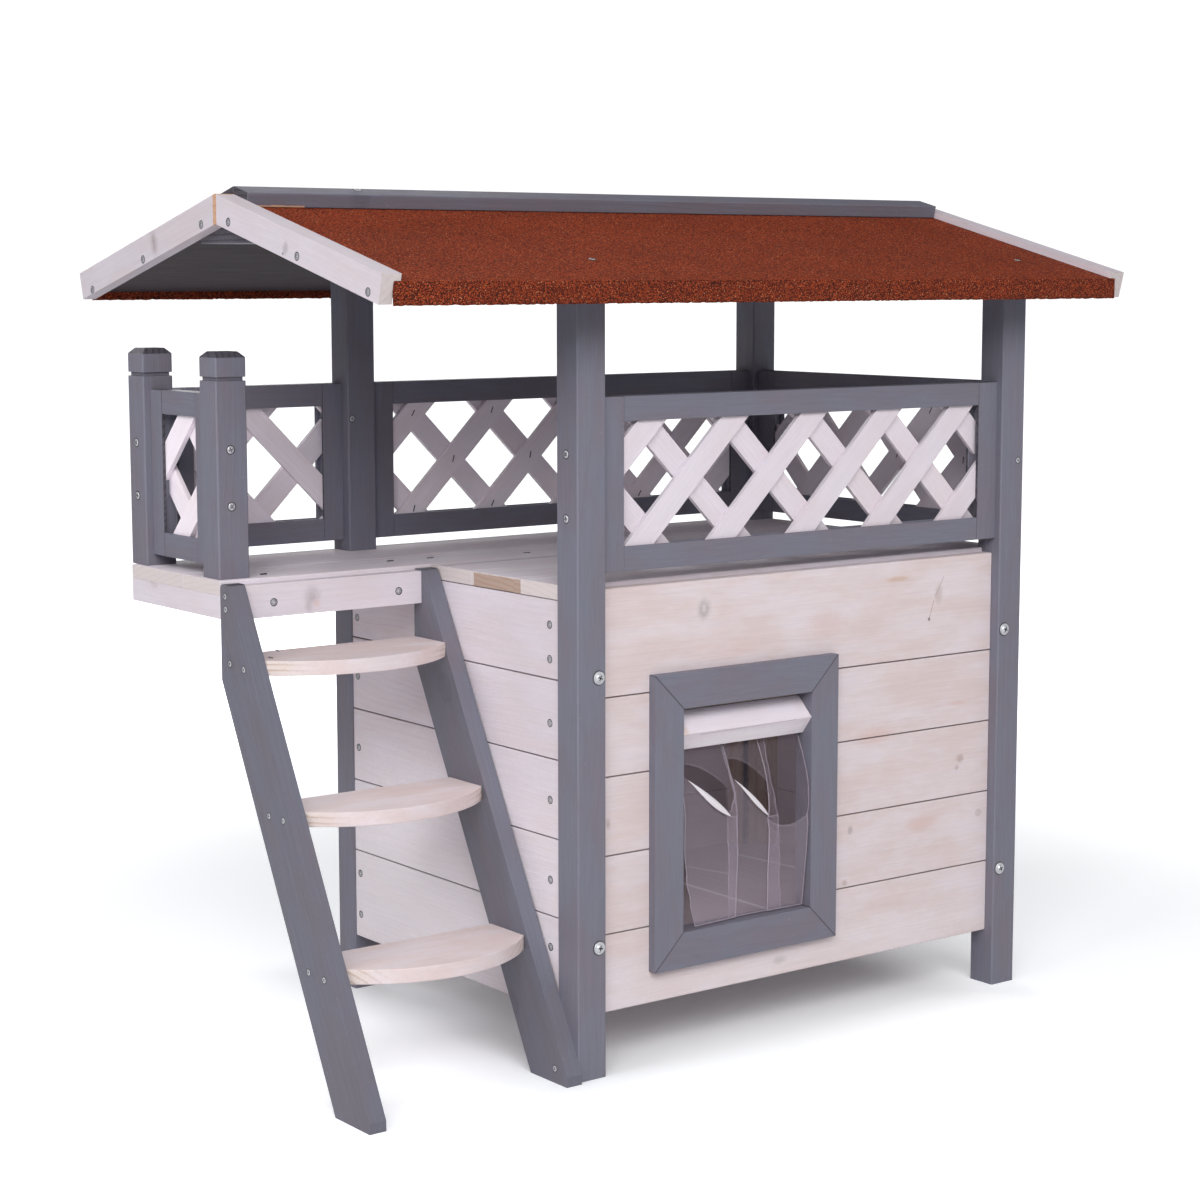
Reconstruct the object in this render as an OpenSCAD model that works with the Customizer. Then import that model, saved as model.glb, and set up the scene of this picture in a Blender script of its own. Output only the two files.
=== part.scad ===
// Raised wooden cat house with a flap door, a railed deck, a side balcony, a ladder and a felted gable roof.
// The door faces -Y, the balcony lies on the -X side, +Z is up and the posts stand on Z = 0.
// The origin lies on the floor under the middle of the roof.

/* [House frame] */
// Width over the four posts
house_w = 499; // [450:1:550]
// Depth over the four posts
house_d = 370; // [350:1:400]
// Side of a square post
post_s = 28; // [26:0.5:32]
// Chamfer on the corners of posts and newels
post_chamfer = 1; // [0.4:0.1:5]
// Height of the deck's top face above the floor
deck_z = 402; // [385:1:430]

/* [Walls and floor] */
// Height of the walls' bottom edge above the floor
wall_z = 50; // [30:1:70]
// Thickness of the wall planks
wall_t = 12; // [9:0.5:14]
// Width of a wall plank
plank_w = 65; // [58:0.5:70]
// Joint between neighbouring planks
plank_gap = 0.4; // [0.2:0.1:0.8]
// Chamfer on the outer edges of a plank
plank_chamfer = 0.8; // [0.3:0.1:1.5]
// Set-back of the front and back walls behind the posts' faces
front_inset = 10; // [6:0.5:12]
// Set-back of the side walls behind the posts' faces
side_inset = 1.5; // [0.5:0.1:3]
// How far the front planks and fascia stop below the deck's top face
front_drop = 3.5; // [1:0.5:6]
// Width of the corner battens
batten_w = 24; // [20:1:30]
// Thickness of the end battens and floor cleats
cleat_t = 15; // [10:1:18]
// Height of the floor cleats
cleat_h = 12; // [10:1:20]
// Thickness of the floor boards
floor_t = 12; // [9:0.5:15]
// Width of a floor board
floor_board_w = 53.2; // [45:0.1:62]

/* [Door] */
// Width of the clear doorway
door_w = 140; // [125:1:150]
// Height of the clear doorway
door_h = 188; // [180:1:192]
// Distance from the left post's outer face to the doorway
door_x = 109.5; // [100:0.5:120]
// Height of the doorway's sill above the walls' bottom edge
sill_h = 56.5; // [52:0.5:60]
// Width of the trim round the doorway
trim_w = 30; // [24:1:34]
// Thickness of the trim on the wall's face
trim_t = 8; // [5:0.5:9]
// Thickness of the trim's lining leg in the wall opening
lining_t = 6; // [4:0.5:8]
// Radius of the trim's outer corners
trim_r = 1.2; // [0.6:0.2:4]
// Height of the white slat over the flaps
slat_h = 31.5; // [28:0.5:35]
// Gap above the slat
slat_top_gap = 5; // [2:0.5:8]
// Height of the slat's nose above its bottom edge
slat_nose = 15; // [10:0.5:18]
// Depth of the slat's flat bottom edge
slat_foot = 6; // [4:0.5:8]

/* [Flap strips] */
// Thickness of a clear strip
flap_t = 1.2; // [0.8:0.1:1.4]
// Overlap of neighbouring strips
flap_lap = 14; // [8:1:20]
// Running gap between overlapping strips
flap_layer_gap = 0.4; // [0.3:0.1:0.6]
// Gap beside the strips in the doorway
flap_side_gap = 1.5; // [1:0.1:2.5]
// Swing gap between the strips and the sill
flap_sill_gap = 1.2; // [0.8:0.1:2]
// How far the strips belly out of the doorway
flap_belly = 16.5; // [10:0.5:18]
// Depth below the pivot line where the belly is fullest
flap_belly_z = 53; // [40:1:70]
// How far the strips' lower ends stand out
flap_toe = 8.6; // [2:0.2:10]
// Distance from the strips' pivot line down from the slat's bottom edge
pivot_drop = 1.5; // [1.2:0.1:2.5]
// Thickness of the clamping rail behind the strips
strip_rail_t = 12; // [8:1:16]

/* [Deck and balcony] */
// Thickness of the deck boards
deck_t = 12; // [9:0.5:15]
// Width of the deck boards in front of the balcony
deck_board_w = 62; // [56:1:66]
// Width of the first board that runs out onto the balcony
rear_board_w = 64; // [55:1:75]
// Joint between neighbouring deck boards
board_gap = 0.3; // [0.2:0.1:0.8]
// Chamfer on the deck boards' top edges
board_chamfer = 1; // [0.5:0.1:2]
// Width of the balcony beside the posts
balcony_w = 200.5; // [180:1:215]
// Depth of the balcony
balcony_d = 156; // [140:1:165]
// Depth of the balcony's edge boards and joists below the deck's top face
fascia_drop = 31; // [25:1:40]
// Thickness of the balcony's edge boards
fascia_t = 12; // [9:0.5:15]
// Width of the joists under the deck
joist_w = 18; // [14:1:24]
// Distance from the ladder's inner faces to the balcony joists' middles
joist_inset = 25; // [20:1:40]

/* [Newels] */
// Gap between the back newel's top and the roof's underside
newel_room = 58.6; // [45:0.2:80]
// Set-back of the newels from the balcony's side edge
newel_inset = 4; // [2:0.5:10]
// Set-back of the front newel from the balcony's front edge
newel_front_inset = 8; // [2:0.5:10]
// How far the back newel stands out past the deck's back edge
newel_over = 7; // [0:0.5:10]
// Chamfer round the newels' tops
newel_top_chamfer = 5; // [2:0.5:8]
// Height of the groove under the newels' caps
groove_h = 3; // [2:0.5:5]
// Depth of the groove under the newels' caps
newel_groove_d = 2; // [1:0.5:4]
// Height of the newels' caps above the groove
newel_cap_h = 20.5; // [15:0.5:28]

/* [Rail panels] */
// Height of a rail panel
panel_h = 140; // [120:1:155]
// Gap between the deck and the rail panels
panel_lift = 9.5; // [5:0.5:15]
// Thickness of the panel frames
panel_t = 15; // [14:0.5:18]
// Height of the panels' top and bottom rails
rail_h = 20; // [16:0.5:26]
// Width of the stiles of the three long panels
stile_w = 23; // [18:0.5:28]
// Width of the stiles of the two balcony panels
small_stile_w = 20; // [16:0.5:24]
// Gap at the glued joints and ends of the panel frames
joint_gap = 0.2; // [0.1:0.05:0.3]
// Depth of the groove that holds the lattice
groove_d = 4; // [3:0.5:6]
// Set-back of the lattice behind the frame's face
lattice_recess = 3; // [2:0.5:3.5]
// Thickness of a lattice strip
lattice_t = 4.4; // [3:0.2:4.6]
// Width of a lattice strip
lattice_w = 21; // [16:0.5:25]
// Distance between parallel lattice strips, measured along the rail
lattice_pitch = 86.8; // [70:0.1:100]
// Gap between the two lattice layers and beside them in the groove
lattice_gap = 0.2; // [0.1:0.05:0.3]

/* [Ladder] */
// Lean of the ladder from upright, in degrees
ladder_lean = 27.6; // [24:0.1:30]
// Width of a stringer across its grain
stringer_w = 48.4; // [40:0.2:54]
// Thickness of a stringer
stringer_t = 15; // [12:0.5:20]
// How far below the deck's top face the stringers' upright back ends
knee_drop = 80; // [60:1:100]
// How far the stringers' tops stop below the deck's top face
stringer_drop = 2; // [1:0.5:5]
// Depth cut off the stringers' toes
toe_cut = 4.5; // [2:0.5:8]
// Radius on the stringers' top corners
stringer_r = 4; // [2:0.5:5]
// Thickness of a tread
tread_t = 12; // [10:0.5:16]
// Depth of a tread at its ends
tread_end_d = 47.5; // [40:0.5:52]
// How far a tread's front edge bows out
tread_bow = 35; // [20:1:45]
// Distance between treads
tread_rise = 114; // [100:1:118]
// Distance from the deck's top face down to the middle of the top tread
top_tread_drop = 66.5; // [55:0.5:80]

/* [Roof] */
// Height of the barge boards' peak above the floor
peak_z = 710; // [690:1:740]
// Slope of the roof, in degrees
roof_angle = 14.25; // [12:0.25:16]
// Roof overhang past the posts on the balcony side
over_left = 214; // [200:1:230]
// Roof overhang past the posts on the other side
over_right = 62; // [40:1:80]
// Roof overhang past the posts at the eaves
eave_over = 58; // [40:1:70]
// Thickness of the roof boards
roof_t = 9; // [7:0.5:12]
// Thickness of the roofing felt
felt_t = 1.8; // [1:0.1:2.5]
// Set-back of the felt's eave behind the barge boards' ends
felt_setback = 1; // [0.5:0.5:4]
// Height of the felt's turned-down apron
felt_apron = 17.5; // [14:0.5:24]
// Thickness of a barge board
barge_t = 11.2; // [10:0.2:18]
// Height of a barge board, square to the slope
barge_h = 22.6; // [20:0.2:30]
// Width of the barge boards' lip over the felt
lip_w = 5.4; // [4:0.2:12]
// Thickness of the barge boards' lip
lip_t = 5.3; // [3:0.1:7]
// Width of a ridge slat along the slope
cap_w = 20.5; // [16:0.5:30]
// Thickness of a ridge slat
cap_t = 11.4; // [8:0.2:14]
// Width of the ridge beam
beam_w = 90; // [70:1:110]
// Depth of the ridge beam under the peak
beam_h = 21.7; // [19:0.1:30]

/* [Post bolts] */
// Height of the lower bolts above the floor
bolt_low_z = 108.5; // [100:0.5:130]
// Height of the upper bolts above the floor
bolt_high_z = 329; // [300:0.5:350]
// Radius of a bolt's shank
bolt_r = 2.4; // [1.5:0.1:3]
// Length of a bolt's shank
bolt_l = 43; // [40:0.5:48]
// Radius of a bolt's washer
washer_r = 5; // [4:0.1:6]
// Thickness of a bolt's washer
washer_t = 1; // [0.6:0.1:1.5]
// Radius of a bolt's head
head_r = 3.8; // [3.2:0.1:4]
// Height of a bolt's head
head_h = 2; // [1.2:0.1:3]
// Gap round a bolt's shank
bolt_gap = 0.1; // [0.05:0.05:0.3]

/* [Hidden] */
$fn = 48;
cut = 1; // overshoot of a cutting solid past a face
gray = [0.44, 0.44, 0.49];
white = [0.87, 0.83, 0.82];
pine = [0.83, 0.72, 0.58];
felt = [0.50, 0.16, 0.10];
clear = [0.85, 0.88, 0.90, 0.35];
zinc = [0.72, 0.73, 0.75];

// House outline
roof_l = over_left + house_w + over_right;
x_roof0 = -roof_l / 2;
x_roof1 = roof_l / 2;
x_left = x_roof0 + over_left;
x_right = x_left + house_w;
x_mid = (x_left + x_right) / 2;
y_back = house_d / 2;
y_front = -y_back;
y_eave = y_back + eave_over;

// Wall levels; a wall's last plank takes what the full planks leave
deck_under = deck_z - deck_t;
front_top = deck_z - front_drop;
plank_n = 5;
front_levels = [for (i = [0 : plank_n]) i < plank_n ? wall_z + i * plank_w : front_top];
side_levels = [for (i = [0 : plank_n]) i == 0 ? wall_z : deck_under - (plank_n - i) * plank_w];
y_wall = y_front + front_inset;
y_inner = y_wall + wall_t;
x_wall = x_left + side_inset;
x_inner = x_wall + wall_t;
side_batten_t = post_s - side_inset - wall_t;
floor_under = wall_z + cleat_h;
floor_top = floor_under + floor_t;

// Doorway
door_x0 = x_left + door_x;
door_x1 = door_x0 + door_w;
door_z0 = wall_z + sill_h;
door_z1 = door_z0 + door_h;
trim_x0 = door_x0 - trim_w;
trim_x1 = door_x1 + trim_w;
trim_z0 = door_z0 - trim_w;
trim_z1 = door_z1 + trim_w;
slat_z1 = door_z1 - slat_top_gap;
slat_z0 = slat_z1 - slat_h;
flap_stack = 2 * flap_t + flap_layer_gap;
pivot_y = y_inner - flap_stack / 2;
pivot_z = slat_z0 - pivot_drop;
slat_back = y_inner - flap_stack;
flap_top_r = flap_stack / 2 + 0.1; // swing radius of the strips' top edges
flap_top_gap = 0.3;
flap_w = (door_w - 2 * flap_side_gap + 2 * flap_lap) / 3;
flap_l = pivot_z - door_z0 - flap_sill_gap;
flap_steps = 10;

// Deck and balcony
x_deck0 = x_left - balcony_w;
x_deck_right = x_right - side_inset;
y_balcony = y_back - balcony_d;
fascia_z = deck_z - fascia_drop;

// Ladder; the stringers' back edge is upright above the knee and leans below it
lean = tan(ladder_lean);
knee_z = deck_z - knee_drop;
stringer_top = deck_z - stringer_drop;
stringer_span = stringer_w / cos(ladder_lean);
x_ladder0 = x_deck0 + stringer_t;
x_ladder1 = x_left - stringer_t;
tread_span = x_ladder1 - x_ladder0;
function rear_line(z) = y_balcony - (knee_z - z) * lean;
function rear_edge(z) = min(y_balcony, rear_line(z));
function front_line(z) = rear_line(z) - stringer_span;
function arc(a) = [cos(a), sin(a)];
arc_steps = 6;

// Newels
x_newel = x_deck0 + newel_inset;
y_newel_front = y_balcony + newel_front_inset;
y_newel_back = y_back + newel_over - post_s;

// Rail panels
panel_z = deck_z + panel_lift;
panel_inset = (post_s - panel_t) / 2;
lattice_stack = 2 * lattice_t + lattice_gap;
front_l = house_w - 2 * post_s;
side_l = house_d - 2 * post_s;
end_panel_l = y_newel_back - y_newel_front - post_s;
balcony_panel_l = x_left - x_newel - post_s;
balcony_panel_y = y_back - (post_s - newel_over + panel_t) / 2;

// Where each panel's lattice starts: the rising and falling strips' middles on the opening's lower edge
front_lattice_start = [17.8, 37.3];
back_lattice_start = [19.3, 27.5];
right_lattice_start = [46, 53];
balcony_lattice_start = [58.9, 65.7];
end_lattice_start = [24.6, 43.5];

// Roof; every ridge height is where the two slopes' faces meet above the middle
roof_tan = tan(roof_angle);
felt_ridge = peak_z - upright(lip_t);
board_ridge = felt_ridge - upright(felt_t);
under_ridge = board_ridge - upright(roof_t);
x_web0 = x_roof0 + barge_t;
x_web1 = x_roof1 - barge_t;
function upright(t) = t / cos(roof_angle);
function slope_z(ridge, y) = ridge - abs(y) * roof_tan;
newel_top = slope_z(under_ridge, y_back + newel_over) - newel_room;

// Bolts run through the posts into the side battens
bolt_x = side_inset + wall_t + side_batten_t / 2;
bolt_z = [bolt_low_z, bolt_high_z];

// Helpers: outlines are drawn as (Y, Z) for along_x and as (X, Z) for along_y
module along_x(x0, x1) {
    translate([x0, 0, 0]) rotate([90, 0, 90]) linear_extrude(x1 - x0) children();
}

module along_y(y0, y1) {
    translate([0, y1, 0]) rotate([90, 0, 0]) linear_extrude(y1 - y0) children();
}

module block(p, q) {
    translate(p) cube(q - p);
}

module to_right_side() {
    translate([2 * x_mid, 0, 0]) mirror([1, 0, 0]) children();
}

module to_back() {
    mirror([0, 1, 0]) children();
}

// Outline of a square post with chamfered corners, from its lower left corner
module post_outline() {
    s = post_s;
    c = post_chamfer;
    polygon([[c, 0], [s - c, 0], [s, c], [s, s - c], [s - c, s], [c, s], [0, s - c], [0, c]]);
}

// Posts: their tops are cut to the roof's slope, and the bolts pass through them along Y
module under_roof() {
    polygon([[-y_eave, 0], [y_eave, 0], [y_eave, slope_z(under_ridge, y_eave)], [0, under_ridge],
        [-y_eave, slope_z(under_ridge, y_eave)]]);
}

module bolt_holes(depth) {
    for (z = bolt_z)
        translate([x_left + bolt_x, y_front - cut, z]) rotate([-90, 0, 0])
            cylinder(r = bolt_r + bolt_gap, h = depth + cut);
}

module front_left_post() {
    color(gray) difference() {
        intersection() {
            translate([x_left, y_front, 0]) linear_extrude(peak_z) post_outline();
            along_x(x_left, x_left + post_s) under_roof();
        }
        bolt_holes(post_s + cut);
    }
}

module post_front_left() { front_left_post(); }
module post_front_right() { to_right_side() front_left_post(); }
module post_back_left() { to_back() front_left_post(); }
module post_back_right() { to_back() to_right_side() front_left_post(); }

// Walls: level planks with chamfered outer edges, the outer face at 0 and the inner face at wall_t
module plank_section(z0, z1) {
    c = plank_chamfer;
    top = z1 - plank_gap;
    polygon([[c, z0], [wall_t, z0], [wall_t, top], [c, top], [0, top - c], [0, z0 + c]]);
}

module long_wall(levels) {
    for (i = [0 : plank_n - 1])
        along_x(x_left + post_s, x_right - post_s)
            translate([y_wall, 0]) plank_section(levels[i], levels[i + 1]);
}

module side_wall() {
    color(white)
        for (i = [0 : plank_n - 1])
            along_y(y_front + post_s, y_back - post_s)
                translate([x_wall, 0]) plank_section(side_levels[i], side_levels[i + 1]);
}

module front_wall() {
    color(white) difference() {
        long_wall(front_levels);
        block([door_x0 - lining_t, y_wall - cut, door_z0 - lining_t],
            [door_x1 + lining_t, y_inner + cut, door_z1 + lining_t]);
    }
}

module back_wall() { color(white) to_back() long_wall(side_levels); }
module left_wall() { side_wall(); }
module right_wall() { to_right_side() side_wall(); }

// Corner battens behind the walls, from the floor up to the deck
module side_batten() {
    difference() {
        block([x_inner, y_front + post_s, floor_top], [x_inner + side_batten_t, y_front + post_s + batten_w, deck_under]);
        bolt_holes(bolt_l + bolt_gap);
    }
}

module side_battens() {
    color(pine) {
        side_batten();
        to_right_side() side_batten();
        to_back() side_batten();
        to_back() to_right_side() side_batten();
    }
}

module end_batten() {
    block([x_left + post_s, y_inner, floor_top], [x_left + post_s + batten_w, y_inner + cleat_t, deck_under]);
}

module end_battens() {
    color(pine) {
        end_batten();
        to_right_side() end_batten();
        to_back() end_batten();
        to_back() to_right_side() end_batten();
    }
}

// Floor: boards along Y on two cleats, notched round the posts' inner corners
module floor_boards() {
    x_end = 2 * x_mid - x_inner;
    n = ceil((x_end - x_inner) / floor_board_w);
    color(pine) difference() {
        for (i = [0 : n - 1])
            block([x_inner + i * floor_board_w + plank_gap, y_inner, floor_under],
                [min(x_inner + (i + 1) * floor_board_w, x_end), -y_inner, floor_top]);
        for (x = [x_left, x_right - post_s])
            for (y = [y_front, y_back - post_s])
                block([x, y, 0], [x + post_s, y + post_s, deck_z]);
    }
}

module floor_cleat() {
    block([x_left + post_s, y_inner, wall_z], [x_right - post_s, y_inner + cleat_t, floor_under]);
}

module floor_cleats() {
    color(pine) {
        floor_cleat();
        to_back() floor_cleat();
    }
}

// Door trim: mitred mouldings with a face on the wall and a lining leg through it
module trim_outline() {
    x0 = trim_x0;
    x1 = trim_x1;
    z0 = trim_z0;
    z1 = trim_z1;
    translate([x0 + trim_r, z0]) square([x1 - x0 - 2 * trim_r, z1 - z0]);
    translate([x0, z0 + trim_r]) square([x1 - x0, z1 - z0 - 2 * trim_r]);
    for (x = [x0 + trim_r, x1 - trim_r])
        for (z = [z0 + trim_r, z1 - trim_r])
            translate([x, z]) circle(trim_r);
}

module door_mitre(x_side, z_side) {
    x0 = trim_x0;
    x1 = trim_x1;
    z0 = trim_z0;
    z1 = trim_z1;
    if (z_side > 0) polygon([[x0, z1], [x1, z1], [door_x1, door_z1], [door_x0, door_z1]]);
    if (z_side < 0) polygon([[x0, z0], [door_x0, door_z0], [door_x1, door_z0], [x1, z0]]);
    if (x_side > 0) polygon([[x1, z0], [door_x1, door_z0], [door_x1, door_z1], [x1, z1]]);
    if (x_side < 0) polygon([[x0, z0], [x0, z1], [door_x0, door_z1], [door_x0, door_z0]]);
}

module lining_outline() {
    translate([door_x0 - lining_t, door_z0 - lining_t]) square([door_w + 2 * lining_t, door_h + 2 * lining_t]);
}

module door_trim(x_side, z_side) {
    color(gray) {
        along_y(y_wall - trim_t, y_wall) intersection() {
            trim_outline();
            door_mitre(x_side, z_side);
        }
        along_y(y_wall - trim_t, y_inner) intersection() {
            lining_outline();
            door_mitre(x_side, z_side);
        }
    }
}

module door_trim_top() { door_trim(0, 1); }
module door_trim_bottom() { door_trim(0, -1); }
module door_trim_left() { door_trim(-1, 0); }
module door_trim_right() { door_trim(1, 0); }

// Slat over the flaps: a nosed section that sheds rain
module header_slat() {
    nose_y = y_wall - trim_t - joint_gap;
    color(white) along_x(door_x0 + joint_gap, door_x1 - joint_gap)
        polygon([[slat_back, slat_z0], [slat_back, slat_z1], [nose_y, slat_z0 + slat_nose],
            [slat_back - slat_foot, slat_z0]]);
}

// Rail on the wall's inner face that clamps the strips' tabs against the slat
module strip_rail() {
    color(pine) block([door_x0 - 2 * lining_t, y_inner, pivot_z + flap_top_r + flap_top_gap],
        [door_x1 + 2 * lining_t, y_inner + strip_rail_t, slat_z1]);
}

// Flaps: clear strips that belly outward; the middle one hangs behind its neighbours
function belly(s) = s < flap_belly_z ? flap_belly * sin(90 * s / flap_belly_z)
    : flap_toe + (flap_belly - flap_toe) * cos(90 * (s - flap_belly_z) / (flap_l - flap_belly_z));

// Upper edge of a strip, an arc about the pivot line, and both faces down to the toe
module strip_section(y0) {
    y1 = y0 + flap_t;
    s = [for (i = [0 : 2 * flap_steps]) flap_l * i / (2 * flap_steps)];
    top0 = sqrt(flap_top_r * flap_top_r - y0 * y0);
    top1 = sqrt(flap_top_r * flap_top_r - y1 * y1);
    front = [for (v = s) [y0 - belly(v), -v]];
    rear = [for (i = [len(s) - 1 : -1 : 0]) [y1 - belly(s[i]), -s[i]]];
    polygon(concat([[y0, top0]], front, rear, [[y1, top1]]));
}

function flap_x(i) = door_x0 + flap_side_gap + i * (flap_w - flap_lap);
function layer_y(i) = i == 1 ? flap_layer_gap / 2 : -flap_layer_gap / 2 - flap_t;

module flap(i) {
    color(clear) translate([0, pivot_y, pivot_z]) along_x(flap_x(i), flap_x(i) + flap_w)
        strip_section(layer_y(i));
}

module flap_left() { flap(0); }
module flap_middle() { flap(1); }
module flap_right() { flap(2); }

// Clamped upper ends of the strips
module strip_tabs() {
    z0 = pivot_z + flap_top_r + flap_top_gap;
    color(clear)
        for (i = [0 : 2])
            block([flap_x(i), pivot_y + layer_y(i), z0], [flap_x(i) + flap_w, pivot_y + layer_y(i) + flap_t, slat_z1]);
}

// Deck: boards along X, notched round the posts; the two rear ones run out onto the balcony
module deck_board(x0, y0, y1) {
    c = board_chamfer;
    color(white) difference() {
        along_x(x0, x_deck_right)
            polygon([[y0, deck_under], [y1, deck_under], [y1, deck_z - c], [y1 - c, deck_z],
                [y0 + c, deck_z], [y0, deck_z - c]]);
        for (x = [x_left, x_right - post_s])
            for (y = [y_front, y_back - post_s])
                block([x, y, deck_under - cut], [x + post_s, y + post_s, deck_z + cut]);
    }
}

module deck_board_1() { deck_board(x_wall, y_inner, y_balcony - 2 * deck_board_w - board_gap); }
module deck_board_2() { deck_board(x_wall, y_balcony - 2 * deck_board_w, y_balcony - deck_board_w - board_gap); }
module deck_board_3() { deck_board(x_wall, y_balcony - deck_board_w, y_balcony - board_gap); }
module deck_board_4() { deck_board(x_deck0, y_balcony, y_balcony + rear_board_w - board_gap); }
module deck_board_5() { deck_board(x_deck0, y_balcony + rear_board_w, y_back); }

// Joists under the balcony, along the side walls and under the deck's middle
module deck_joists() {
    y_batten = y_front + post_s + batten_w;
    color(pine) {
        for (x = [x_ladder0 + joist_inset, x_ladder1 - joist_inset])
            block([x - joist_w / 2, y_balcony, fascia_z], [x + joist_w / 2, y_back - fascia_t, deck_under]);
        block([x_inner, y_batten, fascia_z], [x_inner + joist_w, -y_batten, deck_under]);
        to_right_side() block([x_inner, y_batten, fascia_z], [x_inner + joist_w, -y_batten, deck_under]);
        block([x_mid - joist_w / 2, y_inner, fascia_z], [x_mid + joist_w / 2, -y_inner, deck_under]);
    }
}

// Edge boards of the balcony
module fascia_front() {
    color(white) block([x_ladder0, y_balcony - fascia_t, fascia_z], [x_ladder1, y_balcony, front_top]);
}

module fascia_left() {
    color(white) block([x_deck0, y_balcony, fascia_z], [x_deck0 + fascia_t, y_back, deck_under]);
}

module fascia_back() {
    color(white) block([x_deck0 + fascia_t, y_back - fascia_t, fascia_z], [x_left, y_back, deck_under]);
}

// Newels: square posts with a groove under a hipped cap
module newel_profile() {
    s = post_s;
    c = newel_top_chamfer;
    g = newel_groove_d;
    z1 = newel_top - newel_cap_h;
    z0 = z1 - groove_h;
    polygon([[0, deck_z], [s, deck_z], [s, z0], [s - g, z0], [s - g, z1], [s, z1], [s, newel_top - c],
        [s - c, newel_top], [c, newel_top], [0, newel_top - c], [0, z1], [g, z1], [g, z0], [0, z0]]);
}

module newel(y0) {
    color(gray) translate([x_newel, y0, 0]) intersection() {
        linear_extrude(newel_top + cut) post_outline();
        along_x(0, post_s) newel_profile();
        along_y(0, post_s) newel_profile();
    }
}

module newel_front() { newel(y_newel_front); }
module newel_back() { newel(y_newel_back); }

// Rail panels, drawn along +X from 0 to l with the outer face at Y = 0
module panel_frame(l, w) {
    y0 = lattice_recess - lattice_gap;
    y1 = lattice_recess + lattice_stack + lattice_gap;
    color(gray) translate([0, 0, panel_z]) difference() {
        union() {
            block([joint_gap, 0, 0], [w, panel_t, panel_h]);
            block([l - w, 0, 0], [l - joint_gap, panel_t, panel_h]);
            block([w + joint_gap, 0, 0], [l - w - joint_gap, panel_t, rail_h]);
            block([w + joint_gap, 0, panel_h - rail_h], [l - w - joint_gap, panel_t, panel_h]);
        }
        block([w - groove_d, y0, rail_h - groove_d], [l - w + groove_d, y1, panel_h - rail_h + groove_d]);
    }
}

// One lattice layer: parallel strips at 45 degrees, cut to the opening and its groove
module lattice_layer(l, w, start, lean_deg) {
    tongue = groove_d - lattice_gap;
    h = panel_h - 2 * rail_h;
    n = ceil((l + h) / lattice_pitch) + 1;
    intersection() {
        translate([w - tongue, rail_h - tongue]) square([l - 2 * w + 2 * tongue, h + 2 * tongue]);
        for (i = [-n : n])
            translate([w + start + i * lattice_pitch, rail_h]) rotate(lean_deg)
                square([lattice_w, 4 * panel_h], center = true);
    }
}

module panel_lattice(l, w, starts, falling_outside = false) {
    outer_y = lattice_recess;
    inner_y = lattice_recess + lattice_t + lattice_gap;
    rise_y = falling_outside ? inner_y : outer_y;
    fall_y = falling_outside ? outer_y : inner_y;
    color(white) translate([0, 0, panel_z]) {
        along_y(rise_y, rise_y + lattice_t) lattice_layer(l, w, starts[0], -45);
        along_y(fall_y, fall_y + lattice_t) lattice_layer(l, w, starts[1], 45);
    }
}

module place_front() { translate([x_left + post_s, y_front + panel_inset, 0]) children(); }
module place_back() { translate([x_left + post_s, y_back - panel_inset - panel_t, 0]) children(); }
module place_right() { translate([x_right - panel_inset, y_front + post_s, 0]) rotate([0, 0, 90]) children(); }
module place_balcony_back() { translate([x_newel + post_s, balcony_panel_y, 0]) children(); }
module place_end() { translate([x_newel + panel_inset, y_newel_back, 0]) rotate([0, 0, -90]) children(); }

module front_rail_frame() { place_front() panel_frame(front_l, stile_w); }
module front_rail_lattice() { place_front() panel_lattice(front_l, stile_w, front_lattice_start); }
module back_rail_frame() { place_back() panel_frame(front_l, stile_w); }
module back_rail_lattice() { place_back() panel_lattice(front_l, stile_w, back_lattice_start); }
module right_rail_frame() { place_right() panel_frame(side_l, stile_w); }
module right_rail_lattice() { place_right() panel_lattice(side_l, stile_w, right_lattice_start); }
module balcony_back_frame() { place_balcony_back() panel_frame(balcony_panel_l, small_stile_w); }
module balcony_back_lattice() {
    place_balcony_back() panel_lattice(balcony_panel_l, small_stile_w, balcony_lattice_start, true);
}
module balcony_end_frame() { place_end() panel_frame(end_panel_l, small_stile_w); }
module balcony_end_lattice() { place_end() panel_lattice(end_panel_l, small_stile_w, end_lattice_start); }

// Ladder: leaning stringers with an upright back at the deck, and bowed treads between them
module stringer(x0) {
    toe_y = front_line(0) + toe_cut;
    toe_z = toe_cut / lean;
    top_y = front_line(stringer_top);
    r = stringer_r;
    turn = 90 - ladder_lean; // turn of the outline at its top front corner
    rear_centre = [y_balcony - r, stringer_top - r];
    front_centre = [top_y + r * tan(turn / 2), stringer_top - r];
    color(gray) along_x(x0, x0 + stringer_t) polygon(concat(
        [[rear_line(0), 0], [y_balcony, knee_z]],
        [for (i = [0 : arc_steps]) rear_centre + r * arc(90 * i / arc_steps)],
        [for (i = [0 : arc_steps]) front_centre + r * arc(90 + turn * i / arc_steps)],
        [[toe_y, toe_z], [toe_y, 0]]));
}

module stringer_left() { stringer(x_deck0); }
module stringer_right() { stringer(x_ladder1); }

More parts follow.
